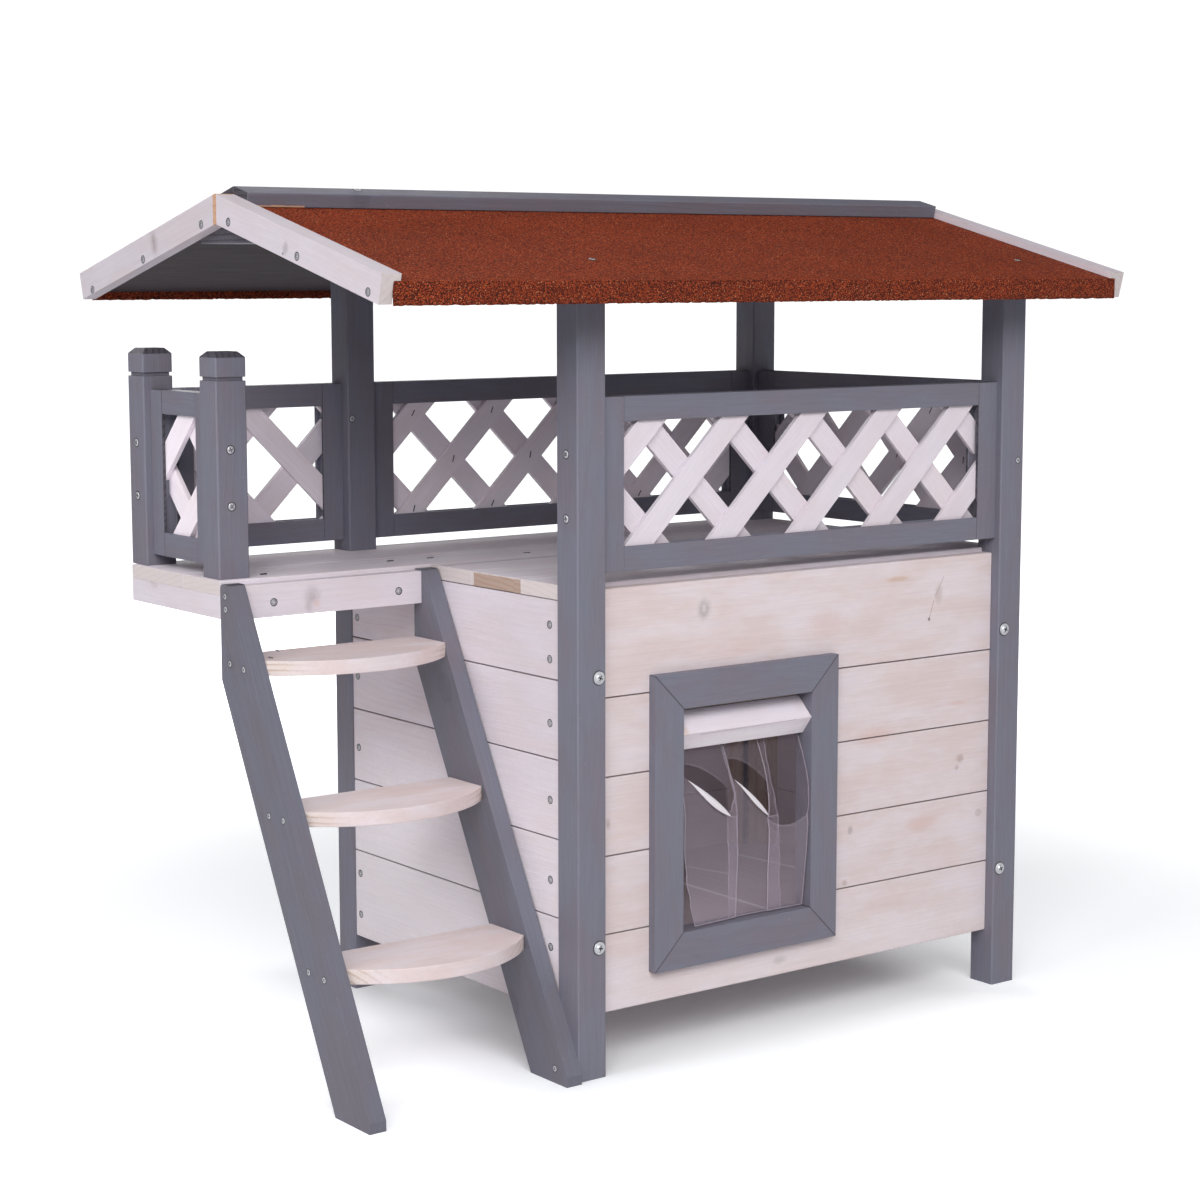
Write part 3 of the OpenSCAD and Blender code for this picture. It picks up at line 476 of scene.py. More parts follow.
def dress(name, mat, bevel=0.0):
    """Gives a CAD node its material, and softens its edges with a bevel in mm."""
    o = nodes[name]
    o.data.materials.clear()
    o.data.materials.append(mat)
    if bevel:
        weld = o.modifiers.new("weld", "WELD")
        weld.merge_threshold = 0.01 * MM
        soft = o.modifiers.new("soft_edges", "BEVEL")
        soft.width, soft.segments, soft.limit_method, soft.angle_limit = bevel * MM, 2, "ANGLE", math.radians(30)
    o.data.polygons.foreach_set("use_smooth", [False] * len(o.data.polygons))


def dress_wood(name, coat, layout, seed, bevel=0.0, **looks):
    """Dresses a CAD node in wood; looks are the other arguments of wood."""
    dress(name, wood(name, coat, layout, seed, **looks), bevel)


for i, n in enumerate(("front_left", "front_right", "back_left", "back_right")):
    dress_wood("post_" + n, "paint", board(Z, X), 11 + i)
for i, n in enumerate(("front", "back")):
    dress_wood("newel_" + n, "paint", board(Z, X), 21 + i, 0.5)

# planks: their width, and where the first joint would be, one plank lower than it is
PLANK, FRONT_START, SIDE_START = 65.0, 50.0, 65.0
JOINTS = 4
# the front wall's marks: a knot, stains and pink patches; the wide light band along its foot is painted light, as
# thrown up from the floor
FRONT_MARKS = [(-36.0, 374.0, 15.0, 15.0, "light", 0.25), (-36.8, 373.9, 7.2, 10.2, "gray", 0.42),
               (-36.8, 375.0, 2.6, 3.8, "light", 0.4),
               (99.0, 350.0, 22.0, 13.0, "pink", 0.5), (181.5, 382.7, 16.0, 2.6, "amber", 0.55),
               (220.5, 344.0, 1.6, 1.9, "dark", 0.8), (232.0, 366.0, 5.0, 10.0, "brown", 0.3),
               (257.0, 265.0, 14.0, 2.0, "pink", 0.6), (262.0, 214.0, 5.0, 4.0, "brown", 0.45),
               (258.0, 206.0, 3.0, 3.0, "brown", 0.4), (129.0, 166.0, 3.2, 4.0, "gray", 0.5),
               (215.0, 160.0, 20.0, 7.0, "pink", 0.6), (123.0, 119.5, 3.0, 3.4, "brown", 0.4),
               (48.6, 63.0, 8.0, 4.0, "gray", 0.5), (-136.0, 207.0, 3.0, 5.0, "brown", 0.4),
               (156.0, 247.0, 24.0, 8.0, "pink", 0.55), (-20.0, 338.0, 50.0, 9.0, "pink", 0.3),
               (76.0, 66.0, 300.0, 24.0, "light", 0.35)]
FRONT_LINES = [(238.0, 381.0, 228.0, 364.0, 0.5, "brown", 0.45), (226.0, 360.0, 220.5, 344.0, 0.5, "brown", 0.5)]
dress_wood("front_wall", "wash", boards(X, Z, FRONT_START, PLANK, float(JOINTS)), 31, 0.4,
           knots=[(-36.8, 373.9, 3.6)], knot_rate=0.35, marks=FRONT_MARKS, lines=FRONT_LINES,
           seams=(FRONT_START, PLANK, JOINTS, FRONT))
# painted light and shade on the left wall: a light patch low towards the back, where the ladder and balcony shade it,
# and a gray patch high at the front
LEFT_WALL_PAINTED_LIGHT = [(60.0, 110.0, 220.0, 120.0, "light", 0.7), (-130.0, 340.0, 100.0, 120.0, "gray", 0.15)]
# a dark line along the top edge of the back and side walls: painted shadow of the gap under the deck
UNDER_DECK_SHADOW = (-400.0, 390.0, 400.0, 390.0, 0.9, "dark", 0.75)
for i, (n, grain, outward) in enumerate((("back", X, BACK), ("left", Y, LEFT), ("right", Y, RIGHT))):
    dress_wood(n + "_wall", "cool", boards(grain, Z, SIDE_START, PLANK, float(JOINTS)), 32 + i, 0.4,
               knot_rate=0.4, bright=1.03, marks=LEFT_WALL_PAINTED_LIGHT if n == "left" else (), lines=[UNDER_DECK_SHADOW],
               seams=(SIDE_START, PLANK, JOINTS, outward))

# the dark upright that shows through the doorway
DARK_UPRIGHT = (240.0, 282.8, 700.0, 4.6, "post", 1.0)
# light lines along the floor's joints: painted highlights on the boards' edges
FLOOR_JOINT_HIGHLIGHTS = [(-160.0, 127.0, 160.0, 127.0, 2.4, "light", 0.9), (58.0, 186.7, 105.0, 172.8, 2.2, "light", 0.7),
               (38.0, 254.6, 114.0, 245.9, 2.2, "light", 0.7)]
dress_wood("side_battens", "bare", board(Z, X), 35)
dress_wood("end_battens", "bare", board(Z, X), 36, 0.6, marks=[DARK_UPRIGHT])
dress_wood("floor_boards", "inside", boards(Y, X, -160.0, 53.2), 37, 0.6, lines=FLOOR_JOINT_HIGHLIGHTS)
dress_wood("floor_cleats", "bare", board(X, Z), 38, 0.6)
dress_wood("strip_rail", "bare", board(X, Z), 39, 0.6)
dress_wood("deck_joists", "bare", boards(Y, X, -400.0, 80.0), 40, 0.6)

# the door trim's outline (x0, x1, z0, z1) and width, and its mitres (x, z, x, z)
TRIM, TRIM_W = (-94.0, 106.0, 76.5, 324.5), 30.0
MITRES = [(x0, z0, x1, z1) for x0, x1 in ((TRIM[0], TRIM[0] + TRIM_W), (TRIM[1], TRIM[1] - TRIM_W))
          for z0, z1 in ((TRIM[2], TRIM[2] + TRIM_W), (TRIM[3], TRIM[3] - TRIM_W))]
for n, level in (("top", True), ("bottom", True), ("left", False), ("right", False)):
    cuts = MITRES if level else [(z0, x0, z1, x1) for x0, z0, x1, z1 in MITRES]
    dress_wood("door_trim_" + n, "paint", board(X, Z) if level else board(Z, X), 40 + len(n), 0.4,
               lines=[(*cut, 0.55, "joint", 0.9) for cut in cuts])
# the slat's wash is lifted (1.13), partly its own whiter tone and partly painted light against its recess's shade;
# the light band low on it is a painted highlight on its downward bevel
dress_wood("header_slat", "cool", board(X, Z), 51, 0.5, knot_rate=0.5, bright=1.13,
           lines=[(-45.0, 271.0, 58.0, 272.4, 0.35, "gray", 0.5)],
           marks=[(-62.0, 276.0, 5.0, 6.0, "tan", 0.35), (0.0, 262.0, 90.0, 9.0, "light", 0.9)])


def stripe(y, half, tone, strength):
    """A soft mark that runs along a whole deck board."""
    return 0.0, y, 400.0, half, tone, strength


# the stripes along the deck boards are painted light and shade: light ones are painted highlights at board edges,
# gray ones painted shade across the boards
DECK_MARKS = [[stripe(-110.0, 4.0, "light", 0.8)],
              [stripe(-102.0, 6.0, "gray", 0.6), stripe(-49.0, 4.0, "light", 0.6)],
              [stripe(-40.0, 5.0, "gray", 0.45), stripe(13.0, 4.5, "gray", 0.5)],
              [stripe(22.0, 4.0, "light", 0.9), stripe(79.0, 4.0, "light", 0.6),
               (-235.0, 82.0, 26.0, 1.4, "gray", 0.6)],
              [stripe(88.0, 5.0, "gray", 0.45), (-300.0, 128.0, 40.0, 1.6, "gray", 0.4)]]
DECK_RAW = (-190.0, -171.0, -105.0, -37.5, 380.0, 401.2, "raw")
for i, marks in enumerate(DECK_MARKS, 1):
    dress_wood(f"deck_board_{i}", "cool", board(X, Y), 60 + i, 0.4, bright=1.07, marks=marks, raw=[DECK_RAW])
dress_wood("fascia_front", "cool", board(X, Z), 71, 0.7, knots=[(-295.7, 384.5, 2.2)],
           marks=[(-295.7, 386.0, 9.0, 9.0, "gray", 0.3), (-299.0, 377.0, 4.0, 5.0, "gray", 0.3),
                  (-291.0, 379.0, 4.0, 4.0, "pink", 0.5)])
dress_wood("fascia_left", "cool", board(Y, Z), 72, 0.7, knot_rate=0.6)
dress_wood("fascia_back", "cool", board(X, Z), 73, 0.7)

# the rail panels' frames: direction along, middle and half width of the opening, seed, brightness; the balcony's back
# frame is lifted (1.15) as painted light in the roof's shade
FRAMES = {"front_rail": (X, X_MID, 198.5, 81, 1.0), "back_rail": (X, X_MID, 198.5, 82, 1.0),
          "right_rail": (Y, 0.0, 134.0, 83, 1.0), "balcony_back": (X, -257.75, 64.25, 85, 1.15),
          "balcony_end": (Y, 114.0, 31.0, 86, 1.0)}
for n, (along, middle, half, seed, bright) in FRAMES.items():
    dress_wood(n + "_frame", "paint", panel(along, middle, half), seed, 0.6, bright=bright)
# their lattices: the five arguments of lattice, brightness; a brightness well above 1 is painted light, lifting the
# lattices that lie in the roof's shade
LATTICES = {"front_rail": (X, Y, -171.0, -104.7, -85.2, 1.03), "back_rail": (X, Y, 171.0, -103.2, -95.0, 1.33),
            "right_rail": (Y, LEFT, -311.6, -88.0, -81.0, 1.15),
            "balcony_back": (X, FRONT, -174.5, -263.1, -256.3, 1.33),
            "balcony_end": (FRONT, X, -356.0, -119.4, -100.5, 1.33)}
for i, (n, (*place, bright)) in enumerate(LATTICES.items()):
    dress_wood(n + "_lattice", "cool", lattice(*place), 91 + i, 0.5, knot_rate=0.4, bright=bright)

# the stringers' paint is darkened overall (0.86): painted shade meant for their inner faces
for i, n in enumerate(("left", "right")):
    dress_wood("stringer_" + n, "paint", board(LADDER, cross(X, LADDER)), 101 + i, 0.7, bright=0.86)
for i, n in enumerate(("top", "middle", "bottom")):
    dress_wood("tread_" + n, "wash", board(X, Y), 111 + i, 0.8, knot_rate=0.6,
               marks=[(-200.0, -20.0, 150.0, 60.0, "tan", 0.05)])

# the roof's two sides; marks on the barge boards are (y, z, half length, half width, tone, strength), and raw wood
# shows on them between two places (y) at the ridge
ROOF = {
    "front": dict(down=DOWN_FRONT, bright=0.91, apex=(-2.2, 0.4),
                  cap_raw=[(-376.0, -319.0, -30.0, -15.0, 695.0, 701.1, "pine")],
                  marks=[(-108.0, 667.0, 4.0, 6.0, "gray", 0.45), (-104.2, 663.1, 1.2, 1.2, "dark", 0.8)]),
    "back": dict(down=DOWN_BACK, bright=0.85, apex=(-0.4, 3.2), cap_raw=[],
                 marks=[(104.0, 673.0, 7.0, 12.0, "gray", 0.35), (104.0, 673.0, 2.6, 9.0, "brown", 0.35)]),
}
for n, half in ROOF.items():
    down, across = half["down"], cross(X, half["down"])
    # the roof boards' paint is darkened (0.34): painted shade under the roof
    dress_wood("roof_board_" + n, "under", board(X, down), 121 + len(n), 0.5, bright=0.34)
    dress_wood("ridge_cap_" + n, "paint", board(X, down), 124 + len(n), 0.8, bright=0.9, raw=half["cap_raw"])
    places = [(Vector((0.0, y, z)).dot(Vector(down)), Vector((0.0, y, z)).dot(Vector(across)), *rest)
              for y, z, *rest in half["marks"]]
    for i, side in enumerate(("left", "right")):
        dress_wood(f"barge_{n}_{side}", "cool", board(down, across), 131 + i + len(n), 0.7, bright=half["bright"],
                   marks=places, raw=[(-400.0, 400.0, *half["apex"], 600.0, 720.0, "pine")])
# the ridge beam's paint is lifted (1.5): painted light on its end, which the barges shade
dress_wood("ridge_beam", "paint", board(X, Y), 141, 0.6, bright=1.5)


# ---------------------------------------------------------------- new pieces

def piece(name, bm, mats, body="house", smooth=False):
    """Makes an object of a bmesh in the part's frame, with its materials, riding on a body."""
    mesh = bpy.data.meshes.new(name)
    bm.to_mesh(mesh)
    bm.free()
    for m in mats:
        mesh.materials.append(m)
    o = bpy.data.objects.new(name, mesh)
    scene.collection.objects.link(o)
    for f in mesh.polygons:
        f.use_smooth = smooth
    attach(o, body)
    return o


ZINC = zinc_finish("zinc", (186, 188, 194), (230, 232, 236))
DULL_ZINC = zinc_finish("zinc_dull", (146, 148, 154), (200, 202, 206))


def plain(name, colour, roughness, metallic):
    """An even finish of one colour."""
    p = Paint(name)
    p.set(Base_Color=linear(*colour), Roughness=roughness, Metallic=metallic)
    return p.mat


# a dark material for painted shade in screw recesses and painted shadow around their heads
SHADE = plain("painted_shade_dark", (48, 44, 48), 0.6, 0.2)
# the staples' steel, darker than zinc partly as painted shade
STEEL = plain("staple_steel", (96, 92, 96), 0.4, 0.7)
FELT, BITUMEN = felt_finish(), bitumen_finish()
dress("strip_tabs", pvc_finish("clear_pvc_tabs"))


# the felt in mm: its thickness, the mesh's cells, how far each end reaches past its solid's
FELT_T, FELT_CELL, FELT_TUCK = 1.8, 2.4, 0.6


def felt_mesh(side):
    """One felt sheet with a granular face: down the slope, round the eave and up the apron's inner side."""
    lo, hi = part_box("felt_front")
    x0, x1, z_ridge, z_low = lo.x - FELT_TUCK * MM, hi.x + FELT_TUCK * MM, hi.z, lo.z
    y_fold = -lo.y
    t, cell = FELT_T * MM, FELT_CELL * MM
    sine, cosine, slope = math.sin(SLOPE), math.cos(SLOPE), math.tan(SLOPE)
    run = y_fold / cosine
    n = int(run / cell)
    # places on the sheet's outline (y, z), each with its outward normal and how rough it is
    path = [((run * i / n * cosine, z_ridge - run * i / n * sine), (sine, cosine), 1.0) for i in range(n + 1)]
    z_fold = z_ridge - y_fold * slope
    z_inner = z_fold + t * slope - t / cosine
    m = max(4, int((z_fold - z_low) / cell))
    path += [((y_fold, z_fold - (z_fold - z_low) * i / m), (1.0, 0.0), 1.0) for i in range(1, m + 1)]
    path += [((y_fold - t, z_low + (z_inner - z_low) * i / m), (-1.0, 0.0), 0.5 if i < m else 0.0)
             for i in range(m + 1)]
    path.append(((0.0, z_ridge - t / cosine), (0.0, -1.0), 0.0))
    cols = int((x1 - x0) / cell)
    bm = bmesh.new()
    rows = []
    for (y, z), (ny, nz), grade in path:
        row = []
        for j in range(cols + 1):
            here = Vector((x0 + (x1 - x0) * j / cols, side * y, z))
            grit = noise.noise(here * 420.0) * 0.5 + noise.noise(here * 1050.0) * 0.5
            push = -(0.35 + 0.55 * grit) * MM * grade
            ragged = noise.noise(here * 380.0) * 0.8 * MM if z == z_low else 0.0
            row.append(bm.verts.new(here + Vector((0.0, side * ny * push, nz * push + ragged))))
        rows.append(row)
    for k, a in enumerate(rows):
        b = rows[(k + 1) % len(rows)]
        for j in range(cols):
            bm.faces.new((a[j], a[j + 1], b[j + 1], b[j])).material_index = 1 if k == len(rows) - 2 else 0
    caps = [bm.faces.new([row[0] for row in rows]), bm.faces.new([row[-1] for row in rows])]
    bmesh.ops.triangulate(bm, faces=caps)
    bmesh.ops.recalc_face_normals(bm, faces=bm.faces)
    return bm


for name, side in (("front", -1), ("back", 1)):
    sheet = piece(f"felt_sheet_{name}", felt_mesh(side), [FELT, BITUMEN], smooth=True)
    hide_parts(f"felt_{name}")


HEAD_STEPS = 24


def circle(bm, r, h):
    """A level ring of vertices about the Z axis, or its middle alone when the radius is 0."""
    if r == 0.0:
        return [bm.verts.new((0.0, 0.0, h))]
    turns = [2 * math.pi * k / HEAD_STEPS for k in range(HEAD_STEPS)]
    return [bm.verts.new((r * math.cos(t), r * math.sin(t), h)) for t in turns]


def recessed_head(radius, dome, rim_drop, cross_r, cross_w, cross_depth, below, flange=None):
    """A screw's head with a cross recess, darkened as painted shade, and a ring of painted shadow around it, in mm.

    Its seat is at height 0, and below is how deep it goes into its hole. A flange is (radius, thickness).
    """
    bm = bmesh.new()
    top = circle(bm, cross_r * 1.16, dome)
    w, r = cross_w / 2, cross_r
    plus = [(w, w), (w, r), (-w, r), (-w, w), (-r, w), (-r, -w), (-w, -w), (-w, -r), (w, -r), (w, -w), (r, -w),
            (r, w)]
    inner = [bm.verts.new((x, y, dome)) for x, y in plus]
    low = [bm.verts.new((x * 0.7, y * 0.7, dome - cross_depth)) for x, y in plus]
    edges = [bm.edges.new((a, b)) for ring in (top, inner) for a, b in zip(ring, ring[1:] + ring[:1])]
    bmesh.ops.triangle_fill(bm, use_beauty=True, use_dissolve=False, edges=edges)
    for f in list(bm.faces):
        c = f.calc_center_median()
        if (abs(c.x) < w and abs(c.y) < r) or (abs(c.y) < w and abs(c.x) < r):
            bm.faces.remove(f)
    for k in range(len(plus)):
        m = (k + 1) % len(plus)
        bm.faces.new((inner[k], inner[m], low[m], low[k]))
    bm.faces.new(low)
    profile = [(radius * 0.86, dome - rim_drop * 0.45), (radius, dome - rim_drop)]
    if flange:
        wide, thick = flange
        profile += [(radius, thick), (wide - 0.2, thick), (wide, thick - 0.2), (wide, 0.0)]
    else:
        profile += [(radius, -0.05)]
    profile += [(0.55 * radius, -below * 0.5), (0.0, -below)]
    rings = [top] + [circle(bm, r, h) for r, h in profile]
    for a, b in zip(rings, rings[1:]):
        for k in range(HEAD_STEPS):
            m = (k + 1) % HEAD_STEPS
            bm.faces.new(list(dict.fromkeys([a[k], a[m], b[m % len(b)], b[k % len(b)]])))
    bmesh.ops.recalc_face_normals(bm, faces=bm.faces)
    # the recess's walls and floor take the dark material: painted shade
    lows = set(low)
    for f in bm.faces:
        if any(v in lows for v in f.verts):
            f.material_index = 1
    # a ring of painted shadow around the head
    outer = flange[0] if flange else radius
    edge = outer + 0.8 if flange else outer * 1.25
    rings = [circle(bm, r, h) for r, h in ((outer * 0.99, 0.10), (edge, 0.08), (edge, -0.3), (outer * 0.99, -0.3))]
    for a, b in zip(rings, rings[1:] + rings[:1]):
        for k in range(HEAD_STEPS):
            m = (k + 1) % HEAD_STEPS
            bm.faces.new((a[k], b[k], b[m], a[m])).material_index = 1
    mesh = bpy.data.meshes.new("template")
    bm.to_mesh(mesh)
    bm.free()
    return mesh


def stamp(bm, mesh, at, normal, turn, up=Z):
    """Adds a copy of a template mesh, given in mm, at a point with its Z along the normal."""
    n = Vector(normal).normalized()
    s = Vector(up).cross(n)
    s = s.normalized() if s.length > 1e-3 else Vector(X)
    t = n.cross(s)
    m = Matrix((s, t, n)).transposed().to_4x4() @ Matrix.Rotation(turn, 4, "Z") @ Matrix.Scale(MM, 4)
    m.translation = Vector(at) * MM
    before = len(bm.verts)
    bm.from_mesh(mesh)
    bm.verts.ensure_lookup_table()
    bmesh.ops.transform(bm, matrix=m, verts=bm.verts[before:])


WOOD_SCREW = recessed_head(2.7, 0.35, 0.25, 1.75, 0.9, 0.9, 3.0)
SMALL_SCREW = recessed_head(2.4, 0.3, 0.2, 1.5, 0.75, 0.8, 2.5)
LARGE_SCREW = recessed_head(3.1, 0.5, 0.35, 2.1, 1.0, 1.0, 3.0)
BOLT = recessed_head(3.7, 2.4, 1.1, 2.3, 1.05, 1.3, 41.0, flange=(5.3, 1.1))


def screws(name, template, places, mat, seed):
    """One piece of several screws; places are (point in mm, normal)."""
    bm, rnd = bmesh.new(), random.Random(seed)
    for at, normal in places:
        stamp(bm, template, at, normal, rnd.uniform(0, math.pi))
    return piece(name, bm, [mat, SHADE])


def fit(x, y, z):
    """The point of the part's frame for a place measured from the front left post's outer corner."""
    return (x + X_LEFT, y + Y_FRONT, z)


left_wall_screws = [(fit(1.5, 40, z), LEFT) for z in (369, 341, 289, 226, 160, 104)]
left_wall_screws += [(fit(1.5, 334, z), LEFT) for z in (343, 290, 225, 109, 71)]
screws("screws_left_wall", WOOD_SCREW, left_wall_screws, DULL_ZINC, 1)
screws("screws_right_wall", WOOD_SCREW,
       [((2 * X_MID - x, y, z), RIGHT) for (x, y, z), _ in left_wall_screws], DULL_ZINC, 2)
screws("screws_posts", LARGE_SCREW, [(fit(x, y, z), way) for x, y, way in ((0, 15, LEFT), (499, 15, RIGHT),
                                                                         (499, 355, RIGHT))
                                     for z in (507, 456)], ZINC, 3)
screws("screws_rails", SMALL_SCREW, [(fit(492, 0, 481), FRONT), (fit(4, 342, 520), FRONT)], ZINC, 10)
screws("screws_fascia", WOOD_SCREW, [(fit(-158, 202, 383), FRONT), (fit(-38, 202, 383), FRONT)], DULL_ZINC, 4)
screws("screws_newels", LARGE_SCREW, [(fit(-184, 222, 507), FRONT), (fit(-184, 222, 461), FRONT),
                                      (fit(-196.5, 363.5, 506), LEFT), (fit(-196.5, 363.5, 461), LEFT)], ZINC, 5)
LADDER_SCREWS = [(206, 390.5), (205.5, 380), (200, 336.5), (177.5, 334.5), (141, 221.7), (118.5, 221.8), (83, 107.3),
                 (59.5, 106.4)]
screws("screws_ladder", SMALL_SCREW, [(fit(-200.5, y, z), LEFT) for y, z in LADDER_SCREWS]
       + [(fit(-15, 12, 12), LEFT)], ZINC, 6)
BARGE_X = 387.5
BARGE_SCREWS = [(164, 687.7), (60, 661), (-39, 635.3), (208, 686.5), (309, 659.8), (404, 634.7)]
screws("screws_barges", WOOD_SCREW,
       [((x, y + Y_FRONT, z), way) for x, way in ((-BARGE_X, LEFT), (BARGE_X, RIGHT)) for y, z in BARGE_SCREWS],
       DULL_ZINC, 7)


# where the felt's two faces would meet, and how far a screw pulls it in
FELT_RIDGE_Z, FELT_DENT = 704.532, 0.3


def on_felt(x, y):
    """The seat of a screw in the felt's face over a place, in mm in the part's frame."""
    return (x, y, FELT_RIDGE_Z - abs(y) * math.tan(SLOPE) - FELT_DENT)


screws("screws_ridge", LARGE_SCREW, [((-261.0, -6.0, 714.8), UP_FRONT)], ZINC, 11)
screws("screws_roof", WOOD_SCREW,
       [(on_felt(x, y), up) for y, up in ((-177.4, UP_FRONT), (177.4, UP_BACK)) for x in (-153.3, 320.4)], ZINC, 8)
bolts = [(fit(x, y, z), way) for y, way in ((0, FRONT), (370, BACK)) for x in (20.75, 478.25) for z in (108.5, 329)]
bolt_heads = screws("bolts", BOLT, bolts, ZINC, 9)
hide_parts("post_bolts")


# each strip's fold, as pvc_finish takes it, and its left and right edges as (z, x)
FOLDS = {
    "left": dict(ends=((-54.7, 233.5), (-11.7, 197.1)), thick=6.0, bow=1.2, arc=(-60.0, 246.0, 0.0112), cut=-15.7),
    "middle": dict(ends=((-4.6, 227.8), (31.5, 191.7)), thick=4.4, bow=0.6, arc=(-6.0, 244.6, 0.0172), cut=31.4),
    "right": dict(arc=(53.0, 181.3, -0.015)),
}
EDGES = {
    "left": (((262, -62.5), (176, -61.9), (150, -58.5), (128, -53.0), (106, -47.5)),
             ((262, -8.4), (235, -8.3), (212, -6.4), (195, -5.2), (150, -2.5), (106, 0.0))),
    "middle": (((262, -10.0), (244, -9.6), (228, -8.4), (214, -6.6), (204, -10.5), (197, -14.8), (190, -14.6),
                (150, -11.0), (106, -6.8)),
               ((262, 38.4), (253, 37.6), (236, 35.2), (223, 34.6), (205, 38.0), (186, 42.0), (147, 45.7),
                (106, 51.0))),
    "right": (((262, 29.0), (220, 29.0), (155, 31.0), (106, 34.6)),
              ((262, 75.2), (234, 75.0), (209, 74.6), (150, 74.2), (106, 74.4))),
}
Z_HANG, Z_SILL, STRIP_T = 256.5, 106.5, 1.2


def edge_x(table, z):
    """An edge's x at a height, eased between the table's points."""
    for (z0, x0), (z1, x1) in zip(table, table[1:]):
        if z >= z1:
            t = min(1.0, max(0.0, (z0 - z) / (z0 - z1)))
            return x0 + (x1 - x0) * t * t * (3 - 2 * t)
    return table[-1][1]


def fold_depth(fold, x, z):
    """How far a strip stands out at its fold, in mm: a ridge along a crease with a hollow above it, or a valley."""
    if "ends" not in fold:
        ax, az, curve = fold["arc"]
        return -1.6 * math.exp(-((z - az + curve * (x - ax) ** 2) / 5.0) ** 2)
    (xa, za), (xb, zb) = fold["ends"]
    dx, dz = xb - xa, zb - za
    size = math.hypot(dx, dz)
    u = ((x - xa) * dx + (z - za) * dz) / size ** 2
    off = ((x - xa) * -dz + (z - za) * dx) / size
    body = max(0.0, 4 * u * (1 - u))
    return 2.0 * body * math.exp(-((off + 1.0) / 3.0) ** 2) - 1.6 * body * math.exp(-((off - 9.0) / 6.0) ** 2)


def strip_mesh(name):
    """A clear strip: from the slat it bellies out and hangs to the sill, with a fold where it has been creased."""
    node = nodes[f"flap_{name}"]
    profile = {}
    for v in node.data.vertices:
        key = round(v.co.z, 6)
        profile[key] = min(profile.get(key, 9.0), v.co.y)
    heights = sorted(profile, reverse=True)

    def front_y(z):
        for a, b in zip(heights, heights[1:]):
            if b <= z <= a:
                return profile[a] + (profile[b] - profile[a]) * ((a - z) / (a - b) if a > b else 0.0)
        return profile[heights[-1]]

    left, right = EDGES[name]
    t, inside = STRIP_T * MM, 0.1 * MM
    z_top, z_low = heights[0] - inside, heights[-1] + inside
    cols, rows = 56, 150
    bm = bmesh.new()
    rim = bm.verts.layers.float.new("rim")
    front, back = [], []
    for i in range(rows + 1):
        z = z_top - (z_top - z_low) * i / rows
        down = max(0.0, (Z_HANG - z / MM) / (Z_HANG - Z_SILL))
        xl, xr = edge_x(left, z / MM), edge_x(right, z / MM)
        # places across the strip, with close ones at both edges
        stops = [0.0, 0.5, 1.0] + [1.0 + (xr - xl - 2.0) * j / cols for j in range(1, cols)] \
            + [xr - xl - 1.0, xr - xl - 0.5, xr - xl]
        for grid, depth in ((front, 0.0), (back, t)):
            line = []
            for k, step in enumerate(stops):
                x = xl + step
                curl = 4.0 * (1.0 - (x - xl) / (xr - xl)) * down ** 4 if name == "left" else 0.0
                out = fold_depth(FOLDS[name], x, z / MM) + curl
                vert = bm.verts.new((x * MM, front_y(z) - out * MM + depth, z))
                # rim marks the cut edges and the foot, which the finish gives a painted highlight
                vert[rim] = 1.0 if k in (0, len(stops) - 1) or i == rows else 0.0
                line.append(vert)
            grid.append(line)
    for grid in (front, back):
        for a, b in zip(grid, grid[1:]):
            for j in range(len(a) - 1):
                bm.faces.new((a[j], b[j], b[j + 1], a[j + 1]))
    rims = []
    for grid in (front, back):
        rims.append(grid[0] + [r[-1] for r in grid[1:]] + grid[-1][-2::-1] + [r[0] for r in grid[-2:0:-1]])
    for k in range(len(rims[0])):
        m = (k + 1) % len(rims[0])
        bm.faces.new((rims[0][k], rims[0][m], rims[1][m], rims[1][k]))
    bmesh.ops.recalc_face_normals(bm, faces=bm.faces)
    return bm


for name in ("left", "middle", "right"):
    finish = pvc_finish(f"clear_pvc_{name}", FOLDS[name])
    strip = piece(f"strip_{name}", strip_mesh(name), [finish], f"{name}_flap", smooth=True)
    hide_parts(f"flap_{name}")


def bar(bm, at, along, up, size):
    """Adds a small box with softened corners: its middle, its long and outward directions, its sizes, in mm."""
    l, n = Vector(along).normalized(), Vector(up).normalized()
    s = n.cross(l)
    a, b, c = (v / 2 for v in size)
    rings = []
    for h, shrink in ((-c, 1.0), (c * 0.4, 1.0), (c, 0.7)):
        corners = ((-a, -b * shrink), (a, -b * shrink), (a, b * shrink), (-a, b * shrink))
        rings.append([bm.verts.new((Vector(at) + l * x + s * y + n * h) * MM) for x, y in corners])
    bm.faces.new(rings[0][::-1])
    bm.faces.new(rings[-1])
    for low, high in zip(rings, rings[1:]):
        for k in range(4):
            m = (k + 1) % 4
            bm.faces.new((low[k], low[m], high[m], high[k]))


def staples(name, places, seed):
    """One piece of several staples, shown by their crowns; places are (point in mm, direction, outward normal)."""
    bm, rnd = bmesh.new(), random.Random(seed)
    for at, along, up in places:
        sway = Vector(along) + Vector(up).cross(Vector(along)) * rnd.uniform(-0.25, 0.25)
        bar(bm, at, sway, up, (6.2, 1.0, 0.9))
    bmesh.ops.recalc_face_normals(bm, faces=bm.faces)
    return piece(name, bm, [STEEL])


def crossings(n, start, end, height=100.0, margin=4.0):
    """Where the strips of a panel's two layers cross: distances along it and heights above its lower rail."""
    rise, fall = LATTICES[n][3:5]
    for i in range(-3, 12):
        for j in range(-3, 12):
            along = (rise + fall + (i + j) * LATTICE_PITCH) / 2
            up = (fall - rise + (j - i) * LATTICE_PITCH) / 2
            if start + margin < along < end - margin and margin < up < height - margin:
                yield along, up


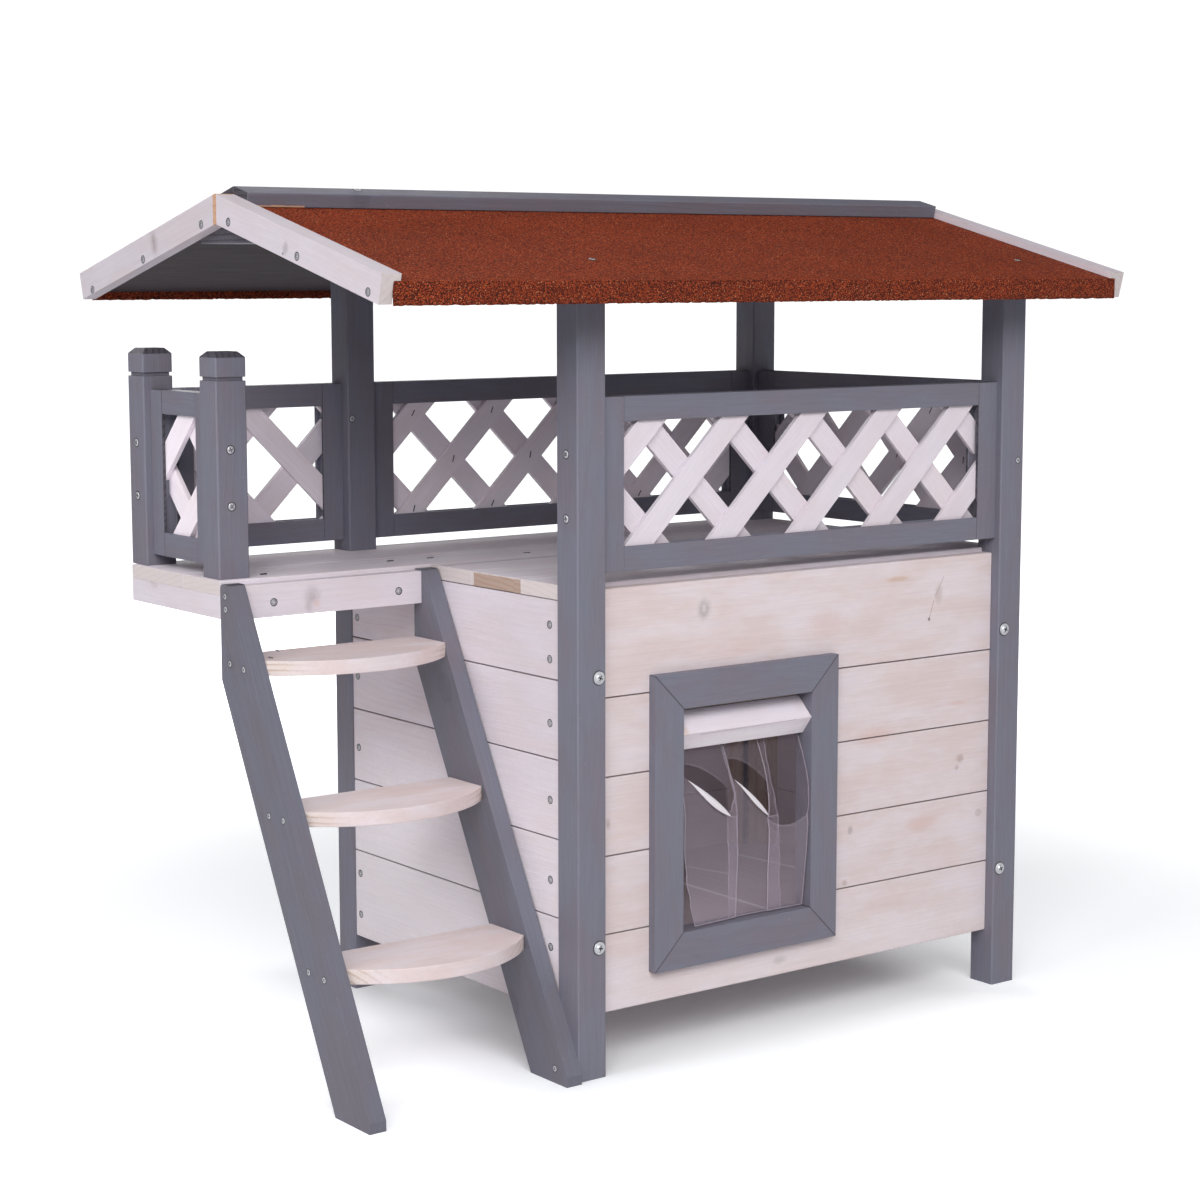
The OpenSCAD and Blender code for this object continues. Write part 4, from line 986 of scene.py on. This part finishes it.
staples("staples_back_rail", [((x, 166.4, RAIL_Z + h), (0.34, 0.0, 0.94), FRONT)
                              for x, h in crossings("back_rail", -122.5, 274.5)], 21)
staples("staples_right_rail", [((307.0, y, RAIL_Z + h), (0.0, -0.34, 0.94), LEFT)
                               for y, h in crossings("right_rail", -134.0, 134.0)], 22)
DECK_STAPLES = [(-149, 234), (-14, 252), (27, 252), (117, 234), (-147.2, 237.4), (-13.4, 254.3), (26.7, 252.7)]
staples("staples_deck", [(fit(x, y, DECK_Z + 0.2), X, Z) for x, y in DECK_STAPLES], 23)
staples("nails_treads", [((-325.1, 23.8, 341.8), (0.3, 1.0, 0.0), Z),
                         ((-348.5, -6.1, 341.8), (0.2, 1.0, 0.0), Z)], 24)


# ---------------------------------------------------------------- stage, light, camera

floor_bm = bmesh.new()
bmesh.ops.create_grid(floor_bm, x_segments=8, y_segments=8, size=40.0)
floor_mesh = bpy.data.meshes.new("floor")
floor_bm.to_mesh(floor_mesh)
floor_bm.free()
floor_mesh.materials.append(floor_finish())
floor = bpy.data.objects.new("floor", floor_mesh)
scene.collection.objects.link(floor)


def softbox(name, azimuth, elevation, distance, size, power, aim=(0.0, 0.0, 0.35)):
    """A soft rectangular light: angles in degrees, distance and size in metres, power in watts.

    Azimuth 0 stands in front of the house and turns towards +X.
    """
    data = bpy.data.lights.new(name, "AREA")
    data.shape, data.size, data.size_y, data.energy = "RECTANGLE", size[0], size[1], power
    o = bpy.data.objects.new(name, data)
    a, e = math.radians(azimuth), math.radians(elevation)
    way = Vector((math.sin(a) * math.cos(e), -math.cos(a) * math.cos(e), math.sin(e)))
    o.location = Vector(aim) + way * distance
    o.rotation_euler = way.to_track_quat("Z", "Y").to_euler()
    o.visible_camera = False
    scene.collection.objects.link(o)


softbox("key", -30.0, 33.0, 4.4, (4.2, 2.2), 174.0)
softbox("left", -88.0, 31.0, 4.4, (2.4, 2.0), 64.0)
softbox("top", -20.0, 78.0, 2.8, (2.2, 2.2), 4.0)
softbox("side", 60.0, 20.0, 3.4, (1.6, 1.6), 8.0)
softbox("back", 170.0, 17.0, 3.4, (3.0, 1.6), 45.0)
softbox("inside", 0.0, 89.9, 0.02, (0.24, 0.2), 0.085, aim=(0.08, 0.0, 0.36))

# the background is white to the camera, and lights the part only a little
world = bpy.data.worlds.new("studio")
scene.world = world
world.use_nodes = True
tree = world.node_tree
tree.nodes.clear()
ray = tree.nodes.new("ShaderNodeLightPath")
blend = tree.nodes.new("ShaderNodeMixShader")
feed(tree, blend.inputs[0], ray.outputs["Is Camera Ray"])
for slot, colour, strength in ((1, (0.94, 0.96, 1.0, 1.0), 0.09), (2, (1.0, 1.0, 1.0, 1.0), 1.05)):
    sky = tree.nodes.new("ShaderNodeBackground")
    feed(tree, sky.inputs["Color"], colour)
    feed(tree, sky.inputs["Strength"], strength)
    feed(tree, blend.inputs[slot], sky.outputs[0])
feed(tree, tree.nodes.new("ShaderNodeOutputWorld").inputs["Surface"], blend.outputs[0])

scene.view_settings.view_transform = "Standard"

# the photo's camera, fitted to its straight edges: place in metres, angles, and a lens for a 36 mm sensor
CAMERA_AT = Vector((-1.3507, -1.7787, 0.64977))
YAW, PITCH, ROLL = math.radians(36.96), math.radians(7.38), math.radians(-0.06)
ahead = Vector((math.sin(YAW) * math.cos(PITCH), math.cos(YAW) * math.cos(PITCH), -math.sin(PITCH)))
right = Vector((math.cos(YAW), -math.sin(YAW), 0.0))
up = right.cross(ahead)
right, up = right * math.cos(ROLL) + up * math.sin(ROLL), up * math.cos(ROLL) - right * math.sin(ROLL)
camera_data = bpy.data.cameras.new("camera")
camera_data.sensor_width, camera_data.lens = 36.0, 76.15
camera_data.clip_start, camera_data.clip_end = 0.05, 200.0
camera = bpy.data.objects.new("camera", camera_data)
camera.matrix_world = Matrix.Translation(CAMERA_AT) @ Matrix((right, up, -ahead)).transposed().to_4x4()
scene.collection.objects.link(camera)
scene.camera = camera
